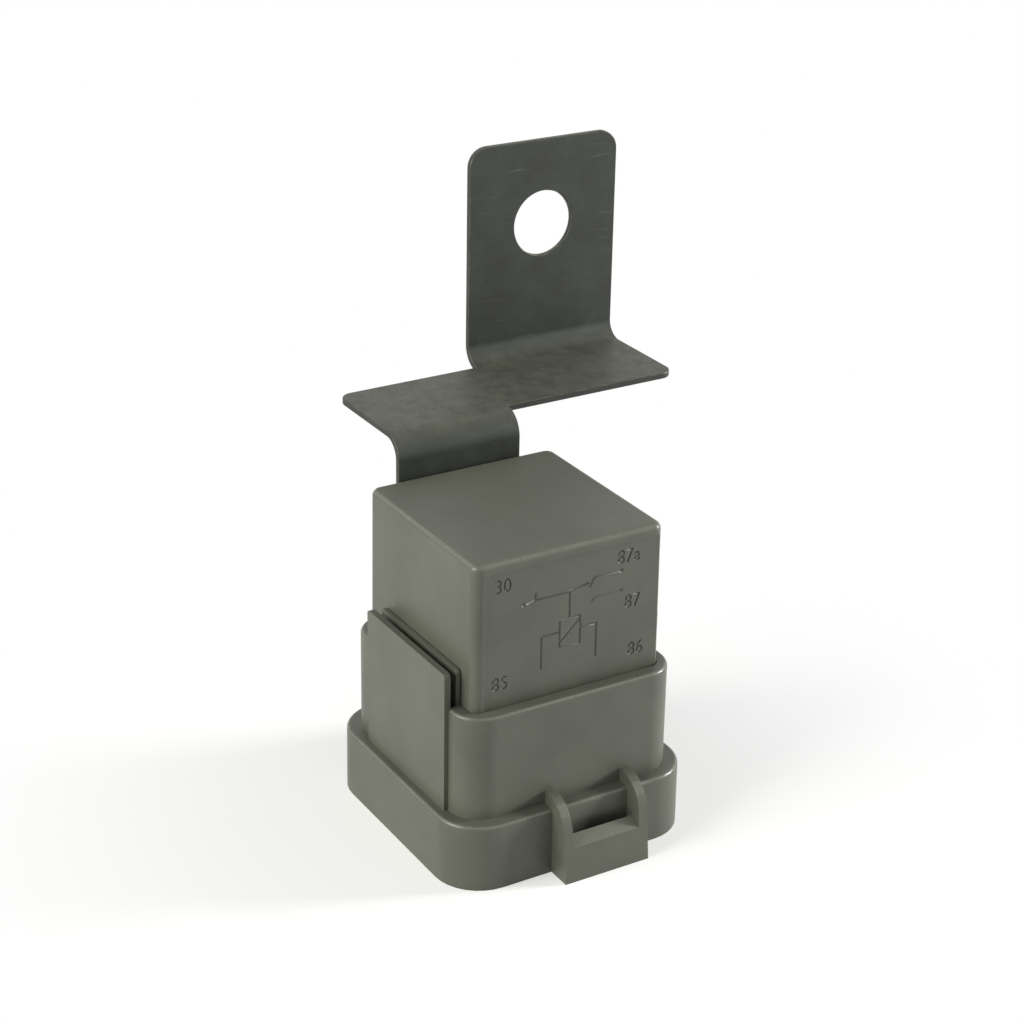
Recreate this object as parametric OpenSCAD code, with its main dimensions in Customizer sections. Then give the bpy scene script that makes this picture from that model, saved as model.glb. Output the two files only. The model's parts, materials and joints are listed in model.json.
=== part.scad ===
// Sealed changeover relay with a skirted plug-in base and a folded steel mounting bracket.
// Millimetres. The origin is the centre of the skirt's mouth, at its bottom edge, +Z up.
// The circuit panel faces -Y and the bracket stands behind, at +Y.

/* [Cover] */
// Width and depth of the cover at its top
cover_w = 28; // [27.4:0.1:30]
// Height of the cover's top above the skirt's mouth
cover_top = 44.4; // [44.2:0.1:50]
// Thickness of the cover's walls and top
cover_wall = 1.1; // [0.8:0.05:1.3]
// How much each side of the cover grows from its top to its lower edge
cover_draft = 0.2; // [0:0.05:0.3]
// Corner radius of the cover's upright edges
cover_corner_r = 1.4; // [1:0.1:2.5]
// Rounding of the cover's top edges
cover_edge_r = 0.9; // [0.4:0.05:0.95]
// Depth of the sunk circuit panel in the cover's front and right faces
panel_depth = 0.3; // [0.15:0.05:0.4]
// Plain border left of the circuit panel
panel_border = 1.45; // [1:0.05:4]
// Plain band above the front panel
panel_band_front = 1.5; // [1.2:0.1:4]
// Plain band above the right-hand panel
panel_band_side = 3.9; // [2:0.1:8]
// Corner radius of the circuit panel
panel_r = 1; // [0.4:0.1:3]

/* [Skirt] */
// Height of the wide lower flange
flange_h = 9.4; // [8.6:0.1:10.6]
// How far the flange stands out beyond the skirt's wall
flange_step = 2; // [1.2:0.1:3]
// Corner radius of the flange
flange_corner_r = 6.4; // [5.4:0.1:8]
// Height of the skirt's rim round the cover
rim_z = 24.1; // [20:0.1:28]
// Thickness of the skirt's wall round the cover
skirt_wall = 1.85; // [1.8:0.05:2.6]
// Corner radius of the skirt's wall
skirt_corner_r = 4.5; // [3.5:0.1:6]
// Rounding of the outer top edges of skirt and flange
skirt_edge_r = 0.55; // [0.2:0.05:0.8]
// Wall thickness of the flange round the connector mouth
mouth_wall = 1.8; // [1.2:0.1:2.4]
// Depth of the wide connector mouth
mouth_depth = 7.6; // [5:0.1:8]
// Height of the ledge inside the skirt that the cover stands on
seat_z = 13; // [12:0.1:15]

/* [Bracket pockets] */
// Height of the pockets' outer walls above the skirt's rim
pocket_rise = 5; // [3:0.1:8]
// Length of a pocket's outer wall along its side
pocket_l = 20.8; // [20.6:0.1:23]
// Width of a pocket's slot
slot_w = 1; // [0.95:0.05:1.1]
// Thickness of the rib between a pocket and the cover
rib_t = 0.6; // [0.5:0.05:0.65]
// Thickness of a pocket's outer wall
pocket_wall = 0.9; // [0.7:0.05:1.2]
// Offset of the side pockets from the middle of their sides
pocket_shift = 1; // [0:0.1:2]
// Height of the floor of the slots
slot_floor_z = 14.2; // [13.6:0.1:20]

/* [Latch loop] */
// Reach of the latch loop in front of the flange, at its lower edge
loop_reach = 3.6; // [3:0.1:6]
// Outer width of the latch loop
loop_w = 12.8; // [10:0.1:16]
// Offset of the loop's middle from the middle of the front
loop_x = 2; // [-3:0.1:4]
// Thickness of the loop's side walls
loop_wall = 1.3; // [0.9:0.05:1.8]
// Height where the side walls meet the skirt
loop_top = 11.3; // [11:0.1:14]
// Height at which the side walls' front edges begin to curve back
loop_knee_z = 6.7; // [5:0.1:7]
// How far the loop's front leans back from its foot to the knee
loop_lean = 0.7; // [0.2:0.1:1.2]
// Height of the crosspiece's front face
bar_h = 4.9; // [3:0.1:6]
// Depth of the crosspiece, front to back
bar_t = 1.6; // [1:0.1:2]
// How much higher the crosspiece is at its back than at its front
bar_rise = 1.1; // [0:0.1:1.5]

/* [Bracket] */
// Thickness of the bracket's sheet steel
sheet_t = 0.9; // [0.6:0.05:0.9]
// Inner radius of the bracket's two bends
bend_r = 2.5; // [1:0.1:3]
// Width of the leg that stands in the rear pocket
leg_w = 18.7; // [12:0.1:19.6]
// Offset of the leg's middle from the middle of the cover
leg_x = 0.35; // [-2:0.05:2]
// Corner radius of the leg's foot
leg_r = 1; // [0.5:0.1:2]
// Height of the bracket plate's top face
plate_z = 49.9; // [49:0.1:60]
// Length of the plate, from the leg's left edge to the upright's right edge
plate_l = 46.3; // [44:0.1:60]
// Depth of the plate between its two bends
plate_d = 14.4; // [10:0.1:20]
// Corner radius of the plate
plate_r = 2; // [0.5:0.1:3]
// Width of the upright
upright_w = 24.1; // [16:0.1:26]
// Height of the upright's top
upright_top = 81; // [76:0.1:95]
// Corner radius at the upright's top
upright_r = 2.8; // [1:0.1:6]
// Diameter of the bolt hole
hole_d = 9.5; // [6:0.1:10.5]
// Distance of the bolt hole's middle below the upright's top
hole_drop = 12.2; // [9:0.1:15]

/* [Terminals] */
// Width of a blade
blade_w = 6.3; // [4.8:0.1:6.3]
// Thickness of a blade
blade_t = 0.8; // [0.6:0.05:0.8]
// Height of the blade tips inside the mouth
blade_tip_z = 2; // [1:0.1:5]
// Distance from the middle of an outer blade to the inside of the cover
blade_inset = 4.2; // [4.1:0.05:4.4]
// Length of the bevel at a blade's tip
blade_bevel = 1; // [0.4:0.1:1.5]

/* [Header] */
// Thickness of the header plate that carries the terminals
header_t = 3.2; // [2.5:0.1:3.4]
// Thickness of the cast seal under the header
seal_t = 1.4; // [1:0.1:1.6]
// Height of the standoffs that carry the magnet system
standoff_h = 1.4; // [1.2:0.1:1.8]

/* [Magnet] */
// Thickness of the yoke's sheet
yoke_t = 1.5; // [1.2:0.05:1.6]
// How much narrower the yoke is than the winding, on each side
yoke_inset = 0.2; // [0.15:0.05:1]
// Length of the winding space between the bobbin's flanges
coil_l = 13.9; // [10:0.1:14]
// Gap between the winding's room and the posts of the coil's terminals
coil_room = 1.3; // [1.2:0.05:2]
// Offset of the coil's axis towards the front
coil_shift = 0.6; // [0.4:0.05:0.8]
// Radius of the core as a share of the winding's radius
core_share = 0.46; // [0.4:0.01:0.5]
// Wall thickness of the bobbin's barrel
barrel_t = 0.85; // [0.6:0.05:1]
// Thickness of the bobbin's flanges
bobbin_flange_t = 1; // [0.7:0.05:1]
// How far the core's pole face stands out beyond the core
pole_lip = 1.7; // [1:0.1:2]
// Thickness of the core's pole face
pole_t = 1.05; // [0.8:0.05:1.2]

/* [Armature] */
// Thickness of the armature
armature_t = 1.2; // [0.9:0.05:1.3]
// How much narrower the armature is than the yoke, on each side
armature_inset = 0.5; // [0.3:0.05:1.2]
// Angle through which the armature drops when the coil is energised, in degrees
armature_swing = 2.2; // [1.5:0.1:2.4]
// Thickness of the contact blade
contact_blade_t = 0.35; // [0.25:0.05:0.4]
// Diameter of the contacts
contact_d = 3.2; // [2.4:0.1:3.4]
// Thickness of a contact's head
contact_t = 0.8; // [0.5:0.05:0.9]

/* [Return spring] */
// Outer diameter of the return spring
spring_d = 2; // [1.6:0.1:2.2]
// Wire diameter of the return spring
spring_wire_d = 0.3; // [0.25:0.05:0.35]
// Number of turns of the return spring
spring_turns = 11; // [7:1:14]

/* [Hidden] */

// How far one form runs into another of the same piece
eps = 0.01;
// How far a cutter runs past what it cuts
past = 1;
// Free play between pieces that slide or seat in each other
fit_gap = 0.05;
// Air left between pieces of the armature and what they meet at the end of their travel
touch_gap = 0.05;

cover_half = cover_w / 2;
cover_bottom = seat_z;
cover_foot_half = cover_half + cover_draft;
draft_angle = atan(cover_draft / (cover_top - cover_bottom));
// The cavity is wider up to the header's top, and the step holds the header down
cavity_half = cover_half - cover_wall;
stop_step = 0.3;
inner_half = cavity_half - stop_step;
inner_corner_r = 0.6;
cavity_top = cover_top - cover_wall;
// How far the sunk panels run down behind the skirt's rim
panel_under = 3;

skirt_bore_half = cover_foot_half + fit_gap;
skirt_half = skirt_bore_half + skirt_wall;
skirt_bore_r = cover_corner_r + fit_gap;
skirt_draft = 0.05;
flange_half = skirt_half + flange_step;
throat_half = skirt_bore_half - cover_wall;
throat_r = 1;
mouth_half = flange_half - mouth_wall;
mouth_r = flange_corner_r - mouth_wall;
// How deep the skirt's outer forms are rooted in its body
root = 1;

slot_from = skirt_bore_half + rib_t;
slot_to = slot_from + slot_w;
pocket_face = slot_to + pocket_wall;
pocket_top = rim_z + pocket_rise;
pocket_end_wall = 0.4;
slot_l = pocket_l - 2 * pocket_end_wall;
pocket_corner_r = 0.5;

loop_front = flange_half + loop_reach;
loop_arc_r = loop_top - loop_knee_z;
loop_foot = skirt_half - root / 3;

leg_front = slot_from + (slot_w - sheet_t) / 2;
outer_bend_r = bend_r + sheet_t;
plate_x0 = leg_x - leg_w / 2;
plate_x1 = plate_x0 + plate_l;
upright_x0 = plate_x1 - upright_w;
upright_x = plate_x1 - upright_w / 2;
plate_foot = plate_z - sheet_t;
// The plate is flat between the axes of its two folds
fold_y0 = leg_front + outer_bend_r;
fold_y1 = fold_y0 + plate_d;
leg_axis_z = plate_z - outer_bend_r;
upright_axis_z = plate_z + bend_r;
// Height of the upright above the axis of its fold
upright_l = upright_top - upright_axis_z;

seal_z = cover_bottom;
header_z = seal_z + seal_t;
header_top = header_z + header_t;
blade_pitch = inner_half - blade_inset;
blade_play = 0.03;
neck_l = 3.4;
neck_inset = 0.2;

coil_y = -coil_shift;
coil_r = blade_pitch - blade_t / 2 - coil_room;
foot_z = header_top + standoff_h;
foot_top = foot_z + yoke_t;
winding_z = foot_top + bobbin_flange_t;
winding_play = 0.15;
winding_r = coil_r - winding_play;
bobbin_top = winding_z + coil_l + bobbin_flange_t;
pole_top = bobbin_top + pole_t;
core_r = coil_r * core_share;
bobbin_bore_r = core_r + fit_gap;
barrel_r = bobbin_bore_r + barrel_t;
pole_r = core_r + pole_lip;
bobbin_flat = 0.1;
bobbin_half = coil_r - bobbin_flat;
bobbin_corner_out = 0.75;
bobbin_corner_r = coil_r + bobbin_corner_out;
rivet_shoulder = 0.8;
rivet_neck_r = core_r - rivet_shoulder;
lead_r = 0.2;
lead_rise = 1;

// Air between the winding's room and the yoke's leg
leg_room = 1.6;
yoke_half = coil_r - yoke_inset;
yoke_leg_front = coil_y + coil_r + leg_room;
yoke_back = yoke_leg_front + yoke_t;
yoke_front_margin = 2.7;
yoke_front = coil_y - rivet_neck_r - yoke_front_margin;
yoke_bend_r = 0.5;
yoke_top = pole_top - touch_gap;
lug_rise = 3.2;
lug_z = winding_z + lug_rise;
lug_t = 1.2;
lug_half = 1.9;

// Standoffs of the header under the yoke's foot
standoff_w = 2.4;
standoff_inset = 0.3;
standoff_front_l = 2.2;
standoff_back_l = 4.2;
standoff_front_margin = 0.2;
standoff_back = yoke_leg_front + fit_gap;
standoff_front = yoke_front + standoff_front_margin;
standoff_side = yoke_half - standoff_inset - standoff_w;

armature_half = yoke_half - armature_inset;
armature_z = pole_top + touch_gap;
armature_top = armature_z + armature_t;
armature_over = 1;
armature_front = coil_y - pole_r - armature_over;
bearing_over = 0.4;
armature_back = yoke_back + bearing_over;
armature_corner_r = 0.8;
tail_half = 2.1;
tail_lip = 1.1;
tail_corner_r = 0.5;
spring_room = 0.7;
tail_y = yoke_back + spring_d / 2 + spring_room;
tail_back = tail_y + tail_lip;
hook_hole_r = 0.5;
hinge_y = yoke_back;
hinge_z = yoke_top;

contact_r = contact_d / 2;
contact_y = -blade_pitch - blade_t / 2 - contact_r;
contact_neck_r = 0.8;
contact_dome = 0.15;
dome_foot_step = 0.25;
dome_top_step = 0.7;
blade_top = armature_top + contact_blade_t;
tongue_half = 2.6;
tongue_over = 1.7;
tongue_r = 1.6;
pad_over = 0.8;
pad_half = armature_half - pad_over;
pad_front_margin = 1.4;
pad_front = armature_front + pad_front_margin;
pad_back_margin = 4.2;
pad_back = armature_back - pad_back_margin;
pad_r = 1;
rivet_r = 0.8;
rivet_head_r = 1.25;
rivet_head_step = 0.35;
rivet_head_t = 0.45;
rivet_sink = 0.1;
rivet_back_inset = 2.4;
rivet_front_inset = 2;
rivet_y = [pad_back - rivet_back_inset, pad_front + rivet_front_inset];

no_top = armature_top - contact_t - touch_gap - contact_dome;
no_ledge_top = no_top - contact_t;
contact_rise = (hinge_y - contact_y + contact_r) * sin(armature_swing);
nc_bottom = blade_top + contact_t + contact_dome + contact_rise + touch_gap;
nc_arm_z = nc_bottom + contact_t;

post_half = 1.5;
post_rise = 2.1;
post_top = winding_z + post_rise;
ear_side = 1;
ear_half = post_half + ear_side;
ear_over = 1.1;
strip_half = 2.5;
riser_gap = 0.6;
riser_inset = 1.7;
riser_x0 = strip_half + riser_inset;
riser_x1 = blade_pitch - blade_t / 2 - riser_gap;
riser_out = 0.4;
riser_front = contact_y - contact_r - riser_out;
arm_over = 0.3;
arm_half = contact_r + arm_over;
terminal_foot_l = 2.4;

resistor_d = 2.3;
resistor_over = 0.6;
resistor_l = 2 * (strip_half + resistor_over);
resistor_rise = 1;
resistor_lead_d = 0.6;
resistor_y = -blade_pitch - blade_t / 2 - resistor_d / 2 - riser_gap;
resistor_z = header_top + resistor_d / 2 + resistor_rise;

braid_d = 1.1;
braid_r = braid_d / 2;
braid_inset = 1.9;
braid_x = armature_half - braid_inset;
// The braid arches over the armature: half width and height of the arch
braid_arch_half = 3.8;
braid_arch_rise = 3.5;
// How far the arch stands out behind the braid's foot on the yoke
braid_bulge = 1.05;
braid_foot_l = 3;
braid_foot_drop = 6.9;
braid_end_l = 1.4;
braid_end_gap = 0.35;

spring_mean_r = (spring_d - spring_wire_d) / 2;
spring_lead = 0.5;
spring_hook_drop = 0.2;
spring_head = 1.2;

// ---- Shared shapes ----

// A square of half sizes hx and hy with true round corners
module round_rect(hx, hy, r) {
    square([2 * hx, 2 * (hy - r)], center = true);
    square([2 * (hx - r), 2 * hy], center = true);
    for (sx = [-1, 1], sy = [-1, 1])
        translate([sx * (hx - r), sy * (hy - r)]) circle(r, $fn = 48);
}

// A corner post with a rounded top edge
module round_post(r, h, edge) {
    rotate_extrude($fn = 32) {
        square([r - edge, h]);
        square([r, h - edge]);
        intersection() {
            translate([r - edge, h - edge]) circle(edge, $fn = 24);
            square([r, h]);
        }
    }
}

// A moulded block with draft: half size top_half at its rounded top, foot_half at its foot
module moulded_block(top_half, foot_half, z0, z1, r, edge) {
    cap = edge + 0.2;
    hull()
        for (sx = [-1, 1], sy = [-1, 1]) {
            translate([sx * (top_half - r), sy * (top_half - r), z1 - cap])
                round_post(r, cap, edge);
            translate([sx * (foot_half - r), sy * (foot_half - r), z0])
                cylinder(r = r, h = 0.1, $fn = 32);
        }
}

// Extrudes a profile drawn in Y (right) and Z (up) along X, from x0 to x1
module along_x(x0, x1) {
    translate([x0, 0, 0]) rotate([90, 0, 90]) linear_extrude(x1 - x0) children();
}

// Extrudes an outline drawn in X (right) and Z (up) along +Y, from y0 to y1
module along_y(y0, y1) {
    translate([0, y1, 0]) rotate([90, 0, 0]) linear_extrude(y1 - y0) children();
}

// A quarter ring, in the quadrant that the signs sx and sy point to
module quarter_ring(outer, inner, sx, sy) {
    difference() {
        quarter_disc(outer, sx, sy);
        circle(inner, $fn = 64);
    }
}

// A quarter disc, in the quadrant that the signs sx and sy point to
module quarter_disc(r, sx, sy) {
    intersection() {
        circle(r, $fn = 64);
        translate([sx > 0 ? 0 : -r, sy > 0 ? 0 : -r]) square(r);
    }
}

// Turns the armature's pieces from pulled in, as they are drawn, to released
module released() {
    translate([0, hinge_y, hinge_z]) rotate([-armature_swing, 0, 0])
        translate([0, -hinge_y, -hinge_z]) children();
}

// ---- Cover ----

module cover_panel_cuts() {
    foot = rim_z - panel_under;
    front_top = cover_top - panel_band_front;
    side_top = cover_top - panel_band_side;
    reach = cover_w;
    // Front panel: it runs out over the right-hand edge
    translate([0, -cover_half, cover_top]) rotate([-draft_angle, 0, 0])
        along_y(-past, panel_depth)
            translate([-cover_half + panel_border + reach, (foot + front_top) / 2 - cover_top])
                round_rect(reach, (front_top - foot) / 2, panel_r);
    // Right-hand panel, open to the front one
    translate([cover_half, 0, cover_top]) rotate([0, -draft_angle, 0])
        along_x(-panel_depth, past)
            translate([cover_half - panel_border - reach, (foot + side_top) / 2 - cover_top])
                round_rect(reach, (side_top - foot) / 2, panel_r);
}

module cover() {
    color("#5f5f57") difference() {
        moulded_block(cover_half, cover_foot_half, cover_bottom, cover_top,
                      cover_corner_r, cover_edge_r);
        translate([0, 0, cover_bottom - past])
            linear_extrude(header_top - cover_bottom + past)
                round_rect(cavity_half, cavity_half, inner_corner_r);
        translate([0, 0, header_top - eps])
            linear_extrude(cavity_top - header_top + eps)
                round_rect(inner_half, inner_half, inner_corner_r);
        cover_panel_cuts();
    }
}

// ---- Skirt ----

// One pocket on the side that faces +X: an outer wall, a rib by the cover
module pocket_walls() {
    along_x(slot_to, pocket_face)
        translate([0, (flange_h - root + pocket_top) / 2])
            round_rect(pocket_l / 2, (pocket_top - flange_h + root) / 2, pocket_corner_r);
    along_x(skirt_bore_half, slot_from)
        translate([0, (rim_z - 2 * root + pocket_top) / 2])
            round_rect(slot_l / 2, (pocket_top - rim_z + 2 * root) / 2, pocket_corner_r);
}

module pocket_slot() {
    translate([slot_from, -slot_l / 2, slot_floor_z])
        cube([slot_w, slot_l, pocket_top - slot_floor_z + past]);
}

// Repeats what it is given on the left, right and rear sides
module at_pockets() {
    translate([0, pocket_shift, 0]) children();
    rotate([0, 0, 180]) translate([0, pocket_shift, 0]) children();
    translate([leg_x, 0, 0]) rotate([0, 0, 90]) children();
}

module loop_side_profile() {
    foot_y = -loop_foot;
    arc_y = -loop_front + loop_lean + loop_arc_r;
    polygon([[foot_y, 0], [-loop_front, 0], [arc_y - loop_arc_r, loop_knee_z],
             [arc_y, loop_knee_z], [foot_y, loop_knee_z]]);
    translate([arc_y, loop_knee_z]) quarter_disc(loop_arc_r, -1, 1);
    translate([arc_y - eps, loop_knee_z - eps])
        square([foot_y - arc_y + eps, loop_arc_r + eps]);
}

module loop_bar_profile() {
    lean = loop_lean * bar_h / loop_knee_z;
    back = -loop_front + lean + bar_t;
    polygon([[-loop_front, 0], [-loop_front + lean, bar_h], [back, bar_h + bar_rise], [back, 0]]);
}

module latch_loop() {
    x0 = loop_x - loop_w / 2;
    x1 = loop_x + loop_w / 2;
    along_x(x0, x0 + loop_wall) loop_side_profile();
    along_x(x1 - loop_wall, x1) loop_side_profile();
    along_x(x0 + eps, x1 - eps) loop_bar_profile();
}

module skirt() {
    color("#595a53") difference() {
        union() {
            moulded_block(flange_half, flange_half + skirt_draft, 0, flange_h,
                          flange_corner_r, skirt_edge_r);
            moulded_block(skirt_half, skirt_half + skirt_draft, root, rim_z,
                          skirt_corner_r, skirt_edge_r);
            at_pockets() pocket_walls();
            latch_loop();
        }
        translate([0, 0, -past]) linear_extrude(mouth_depth + past)
            round_rect(mouth_half, mouth_half, mouth_r);
        translate([0, 0, -past]) linear_extrude(seat_z + 2 * past)
            round_rect(throat_half, throat_half, throat_r);
        translate([0, 0, seat_z]) linear_extrude(pocket_top)
            round_rect(skirt_bore_half, skirt_bore_half, skirt_bore_r);
        at_pockets() pocket_slot();
    }
}

// ---- Bracket ----

// The flat plate: round at its two free corners, square where the folds carry it on
module plate_outline() {
    run = [plate_l - plate_r, plate_d - plate_r];
    translate([plate_x0, fold_y0]) square(run);
    translate([plate_x1, fold_y1]) rotate(180) square(run);
    translate([plate_x0 + plate_r, fold_y1 - plate_r]) circle(plate_r, $fn = 48);
    translate([plate_x1 - plate_r, fold_y0 + plate_r]) circle(plate_r, $fn = 48);
}

module leg() {
    leg_z0 = slot_floor_z + fit_gap;
    along_x(plate_x0, plate_x0 + leg_w)
        translate([fold_y0, leg_axis_z]) quarter_ring(outer_bend_r, bend_r, -1, 1);
    along_y(leg_front, leg_front + sheet_t) {
        translate([leg_x, (leg_z0 + leg_axis_z) / 2])
            round_rect(leg_w / 2, (leg_axis_z - leg_z0) / 2, leg_r);
        translate([plate_x0, leg_axis_z - 2 * leg_r]) square([leg_w, 2 * leg_r]);
    }
}

// The upright and its fold, with the fold's axis at the origin
module upright() {
    along_x(upright_x0, plate_x1) quarter_ring(outer_bend_r, bend_r, 1, -1);
    along_y(bend_r, outer_bend_r) difference() {
        union() {
            translate([upright_x, upright_l - hole_drop])
                round_rect(upright_w / 2, hole_drop, upright_r);
            translate([upright_x0, 0]) square([upright_w, upright_l - hole_drop]);
        }
        translate([upright_x, upright_l - hole_drop]) circle(d = hole_d, $fn = 64);
    }
}

module bracket() {
    color("#4d4f49") {
        translate([0, 0, plate_foot]) linear_extrude(sheet_t) plate_outline();
        leg();
        translate([0, fold_y1, upright_axis_z]) upright();
    }
}

// ---- Terminals ----

// A blade in the plane of Y and Z, with a bevelled tip, up to height top
module blade(top) {
    half = blade_w / 2;
    tip = half - blade_bevel;
    along_x(-blade_t / 2, blade_t / 2)
        polygon([[-half, top], [-half, blade_tip_z + blade_bevel], [-tip, blade_tip_z],
                 [tip, blade_tip_z], [half, blade_tip_z + blade_bevel], [half, top]]);
}

// The slots for all five blades, as cutters with the given play
module blade_cuts(z0, z1, play) {
    long = blade_w + 2 * play;
    thin = blade_t + 2 * play;
    h = z1 - z0;
    for (x = [-blade_pitch, blade_pitch])
        translate([x, 0, z0 + h / 2]) cube([thin, long, h], center = true);
    for (y = [-blade_pitch, 0])
        translate([0, y, z0 + h / 2]) cube([long, thin, h], center = true);
    translate([0, blade_pitch, z0 + h / 2]) cube([thin, long, h], center = true);
}

module terminal_30() {
    color("#b9b39a") {
        translate([0, blade_pitch, 0]) blade(header_top);
        // Neck welded under the yoke's foot
        translate([-blade_t / 2, yoke_back - neck_l - neck_inset, header_top - eps])
            cube([blade_t, neck_l, foot_z - header_top + eps]);
    }
}

module coil_terminal(side) {
    color("#b9b39a") translate([side * blade_pitch, 0, 0]) {
        blade(header_top);
        translate([-blade_t / 2, -post_half, header_top - eps])
            cube([blade_t, 2 * post_half, post_top - header_top + eps]);
    }
}

module terminal_85() { coil_terminal(-1); }

module terminal_86() { coil_terminal(1); }

module terminal_87() {
    back = -blade_pitch + blade_t / 2;
    color("#b9b39a") difference() {
        union() {
            translate([0, -blade_pitch, 0]) rotate([0, 0, 90]) blade(header_top);
            translate([-strip_half, -blade_pitch - blade_t / 2, header_top - eps])
                cube([2 * strip_half, blade_t, no_ledge_top - header_top + eps]);
            translate([-strip_half, contact_y - contact_r, no_ledge_top - blade_t])
                cube([2 * strip_half, back - contact_y + contact_r, blade_t]);
        }
        translate([0, contact_y, no_ledge_top - blade_t - past])
            cylinder(r = contact_neck_r + blade_play, h = blade_t + 2 * past, $fn = 32);
    }
}

module terminal_87a() {
    arm_top = nc_arm_z + blade_t;
    color("#b9b39a") difference() {
        union() {
            rotate([0, 0, 90]) blade(header_top + blade_t);
            // Foot on the header, from the middle blade to the riser
            translate([-strip_half, -terminal_foot_l, header_top])
                cube([riser_x1 + strip_half, terminal_foot_l, blade_t]);
            translate([riser_x0, riser_front, header_top])
                cube([riser_x1 - riser_x0, -riser_front, blade_t]);
            // Riser beside the coil and arm over the moving contact
            translate([riser_x0, riser_front, header_top])
                cube([riser_x1 - riser_x0, blade_t, arm_top - header_top]);
            translate([0, riser_front, nc_arm_z])
                cube([riser_x1, 2 * arm_half, blade_t]);
            translate([0, riser_front + arm_half, nc_arm_z])
                cylinder(r = arm_half, h = blade_t, $fn = 48);
        }
        translate([0, contact_y, nc_arm_z - past])
            cylinder(r = contact_neck_r + blade_play, h = blade_t + 2 * past, $fn = 32);
    }
}

// ---- Header and seal ----

// A standoff under the yoke's foot, with its near left corner at x and y
module standoff(x, y, l) {
    translate([x, y, header_top - eps]) cube([standoff_w, l, foot_z - header_top + eps]);
}

module header() {
    half = cavity_half - fit_gap;
    color("#2f3130") {
        difference() {
            translate([0, 0, header_z]) linear_extrude(header_t)
                round_rect(half, half, inner_corner_r);
            blade_cuts(header_z - past, header_top + past, blade_play);
        }
        standoff(-standoff_side - standoff_w, standoff_back - standoff_back_l, standoff_back_l);
        standoff(standoff_side, standoff_back - standoff_back_l, standoff_back_l);
        standoff(-standoff_side - standoff_w, standoff_front, standoff_front_l);
        standoff(riser_x0 - standoff_w - riser_gap, standoff_front, standoff_front_l);
    }
}

module base_seal() {
    color("#1d1e1f") difference() {
        translate([0, 0, seal_z]) linear_extrude(seal_t)
            round_rect(cavity_half, cavity_half, inner_corner_r);
        blade_cuts(seal_z - past, header_z + past, 0);
    }
}

// ---- Magnet system ----

module yoke() {
    color("#9a9c9c") difference() {
        union() {
            translate([-yoke_half, yoke_front, foot_z])
                cube([2 * yoke_half, yoke_leg_front - yoke_bend_r - yoke_front, yoke_t]);
            along_x(-yoke_half, yoke_half)
                translate([yoke_leg_front - yoke_bend_r, foot_top + yoke_bend_r])
                    quarter_ring(yoke_bend_r + yoke_t, yoke_bend_r, 1, -1);
            translate([-yoke_half, yoke_leg_front, foot_top + yoke_bend_r])
                cube([2 * yoke_half, yoke_t, yoke_top - foot_top - yoke_bend_r]);
            // Lug for the return spring
            translate([-lug_half, yoke_leg_front + eps, lug_z])
                cube([2 * lug_half, tail_back - yoke_leg_front, lug_t]);
        }
        translate([0, coil_y, foot_z - past])
            cylinder(r = rivet_neck_r + blade_play, h = yoke_t + 2 * past, $fn = 48);
        translate([0, tail_y, lug_z - past])
            cylinder(r = hook_hole_r, h = lug_t + 2 * past, $fn = 24);
    }
}

module core() {
    color("#a9abab") translate([0, coil_y, 0]) {
        translate([0, 0, foot_z]) cylinder(r = rivet_neck_r, h = yoke_t + eps, $fn = 48);
        translate([0, 0, foot_top]) cylinder(r = core_r, h = bobbin_top - foot_top + eps, $fn = 48);
        translate([0, 0, bobbin_top]) cylinder(r = pole_r, h = pole_t, $fn = 64);
    }
}

module bobbin_flange(z) {
    translate([0, 0, z]) linear_extrude(bobbin_flange_t) intersection() {
        square(2 * bobbin_half, center = true);
        circle(bobbin_corner_r, $fn = 64);
    }
}

module bobbin() {
    ear_out = blade_pitch + blade_t / 2 + ear_over;
    color("#3c3a33") difference() {
        union() {
            translate([0, coil_y, 0]) {
                translate([0, 0, foot_top])
                    cylinder(r = barrel_r, h = bobbin_top - foot_top, $fn = 64);
                bobbin_flange(foot_top);
                bobbin_flange(bobbin_top - bobbin_flange_t);
            }
            // Ears that hold the coil's terminal posts
            translate([-ear_out, -ear_half, foot_top])
                cube([2 * ear_out, 2 * ear_half, bobbin_flange_t]);
        }
        translate([0, coil_y, foot_top - past])
            cylinder(r = bobbin_bore_r, h = bobbin_top - foot_top + 2 * past, $fn = 64);
        for (side = [-1, 1])
            translate([side * blade_pitch, 0, foot_top])
                cube([blade_t + 2 * blade_play, 2 * (post_half + blade_play),
                      2 * (bobbin_flange_t + past)], center = true);
    }
}

module coil_winding() {
    lead_from = winding_r - coil_shift;
    color("#a4602c") {
        translate([0, coil_y, winding_z + fit_gap]) difference() {
            cylinder(r = winding_r, h = coil_l - 2 * fit_gap, $fn = 64);
            translate([0, 0, -past])
                cylinder(r = barrel_r + fit_gap, h = coil_l + 2 * past, $fn = 64);
        }
        for (side = [-1, 1])
            translate([side * lead_from, 0, winding_z + lead_rise]) rotate([0, side * 90, 0])
                cylinder(r = lead_r, h = blade_pitch - blade_t / 2 - lead_from, $fn = 24);
    }
}

// ---- Armature and contacts ----

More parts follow.
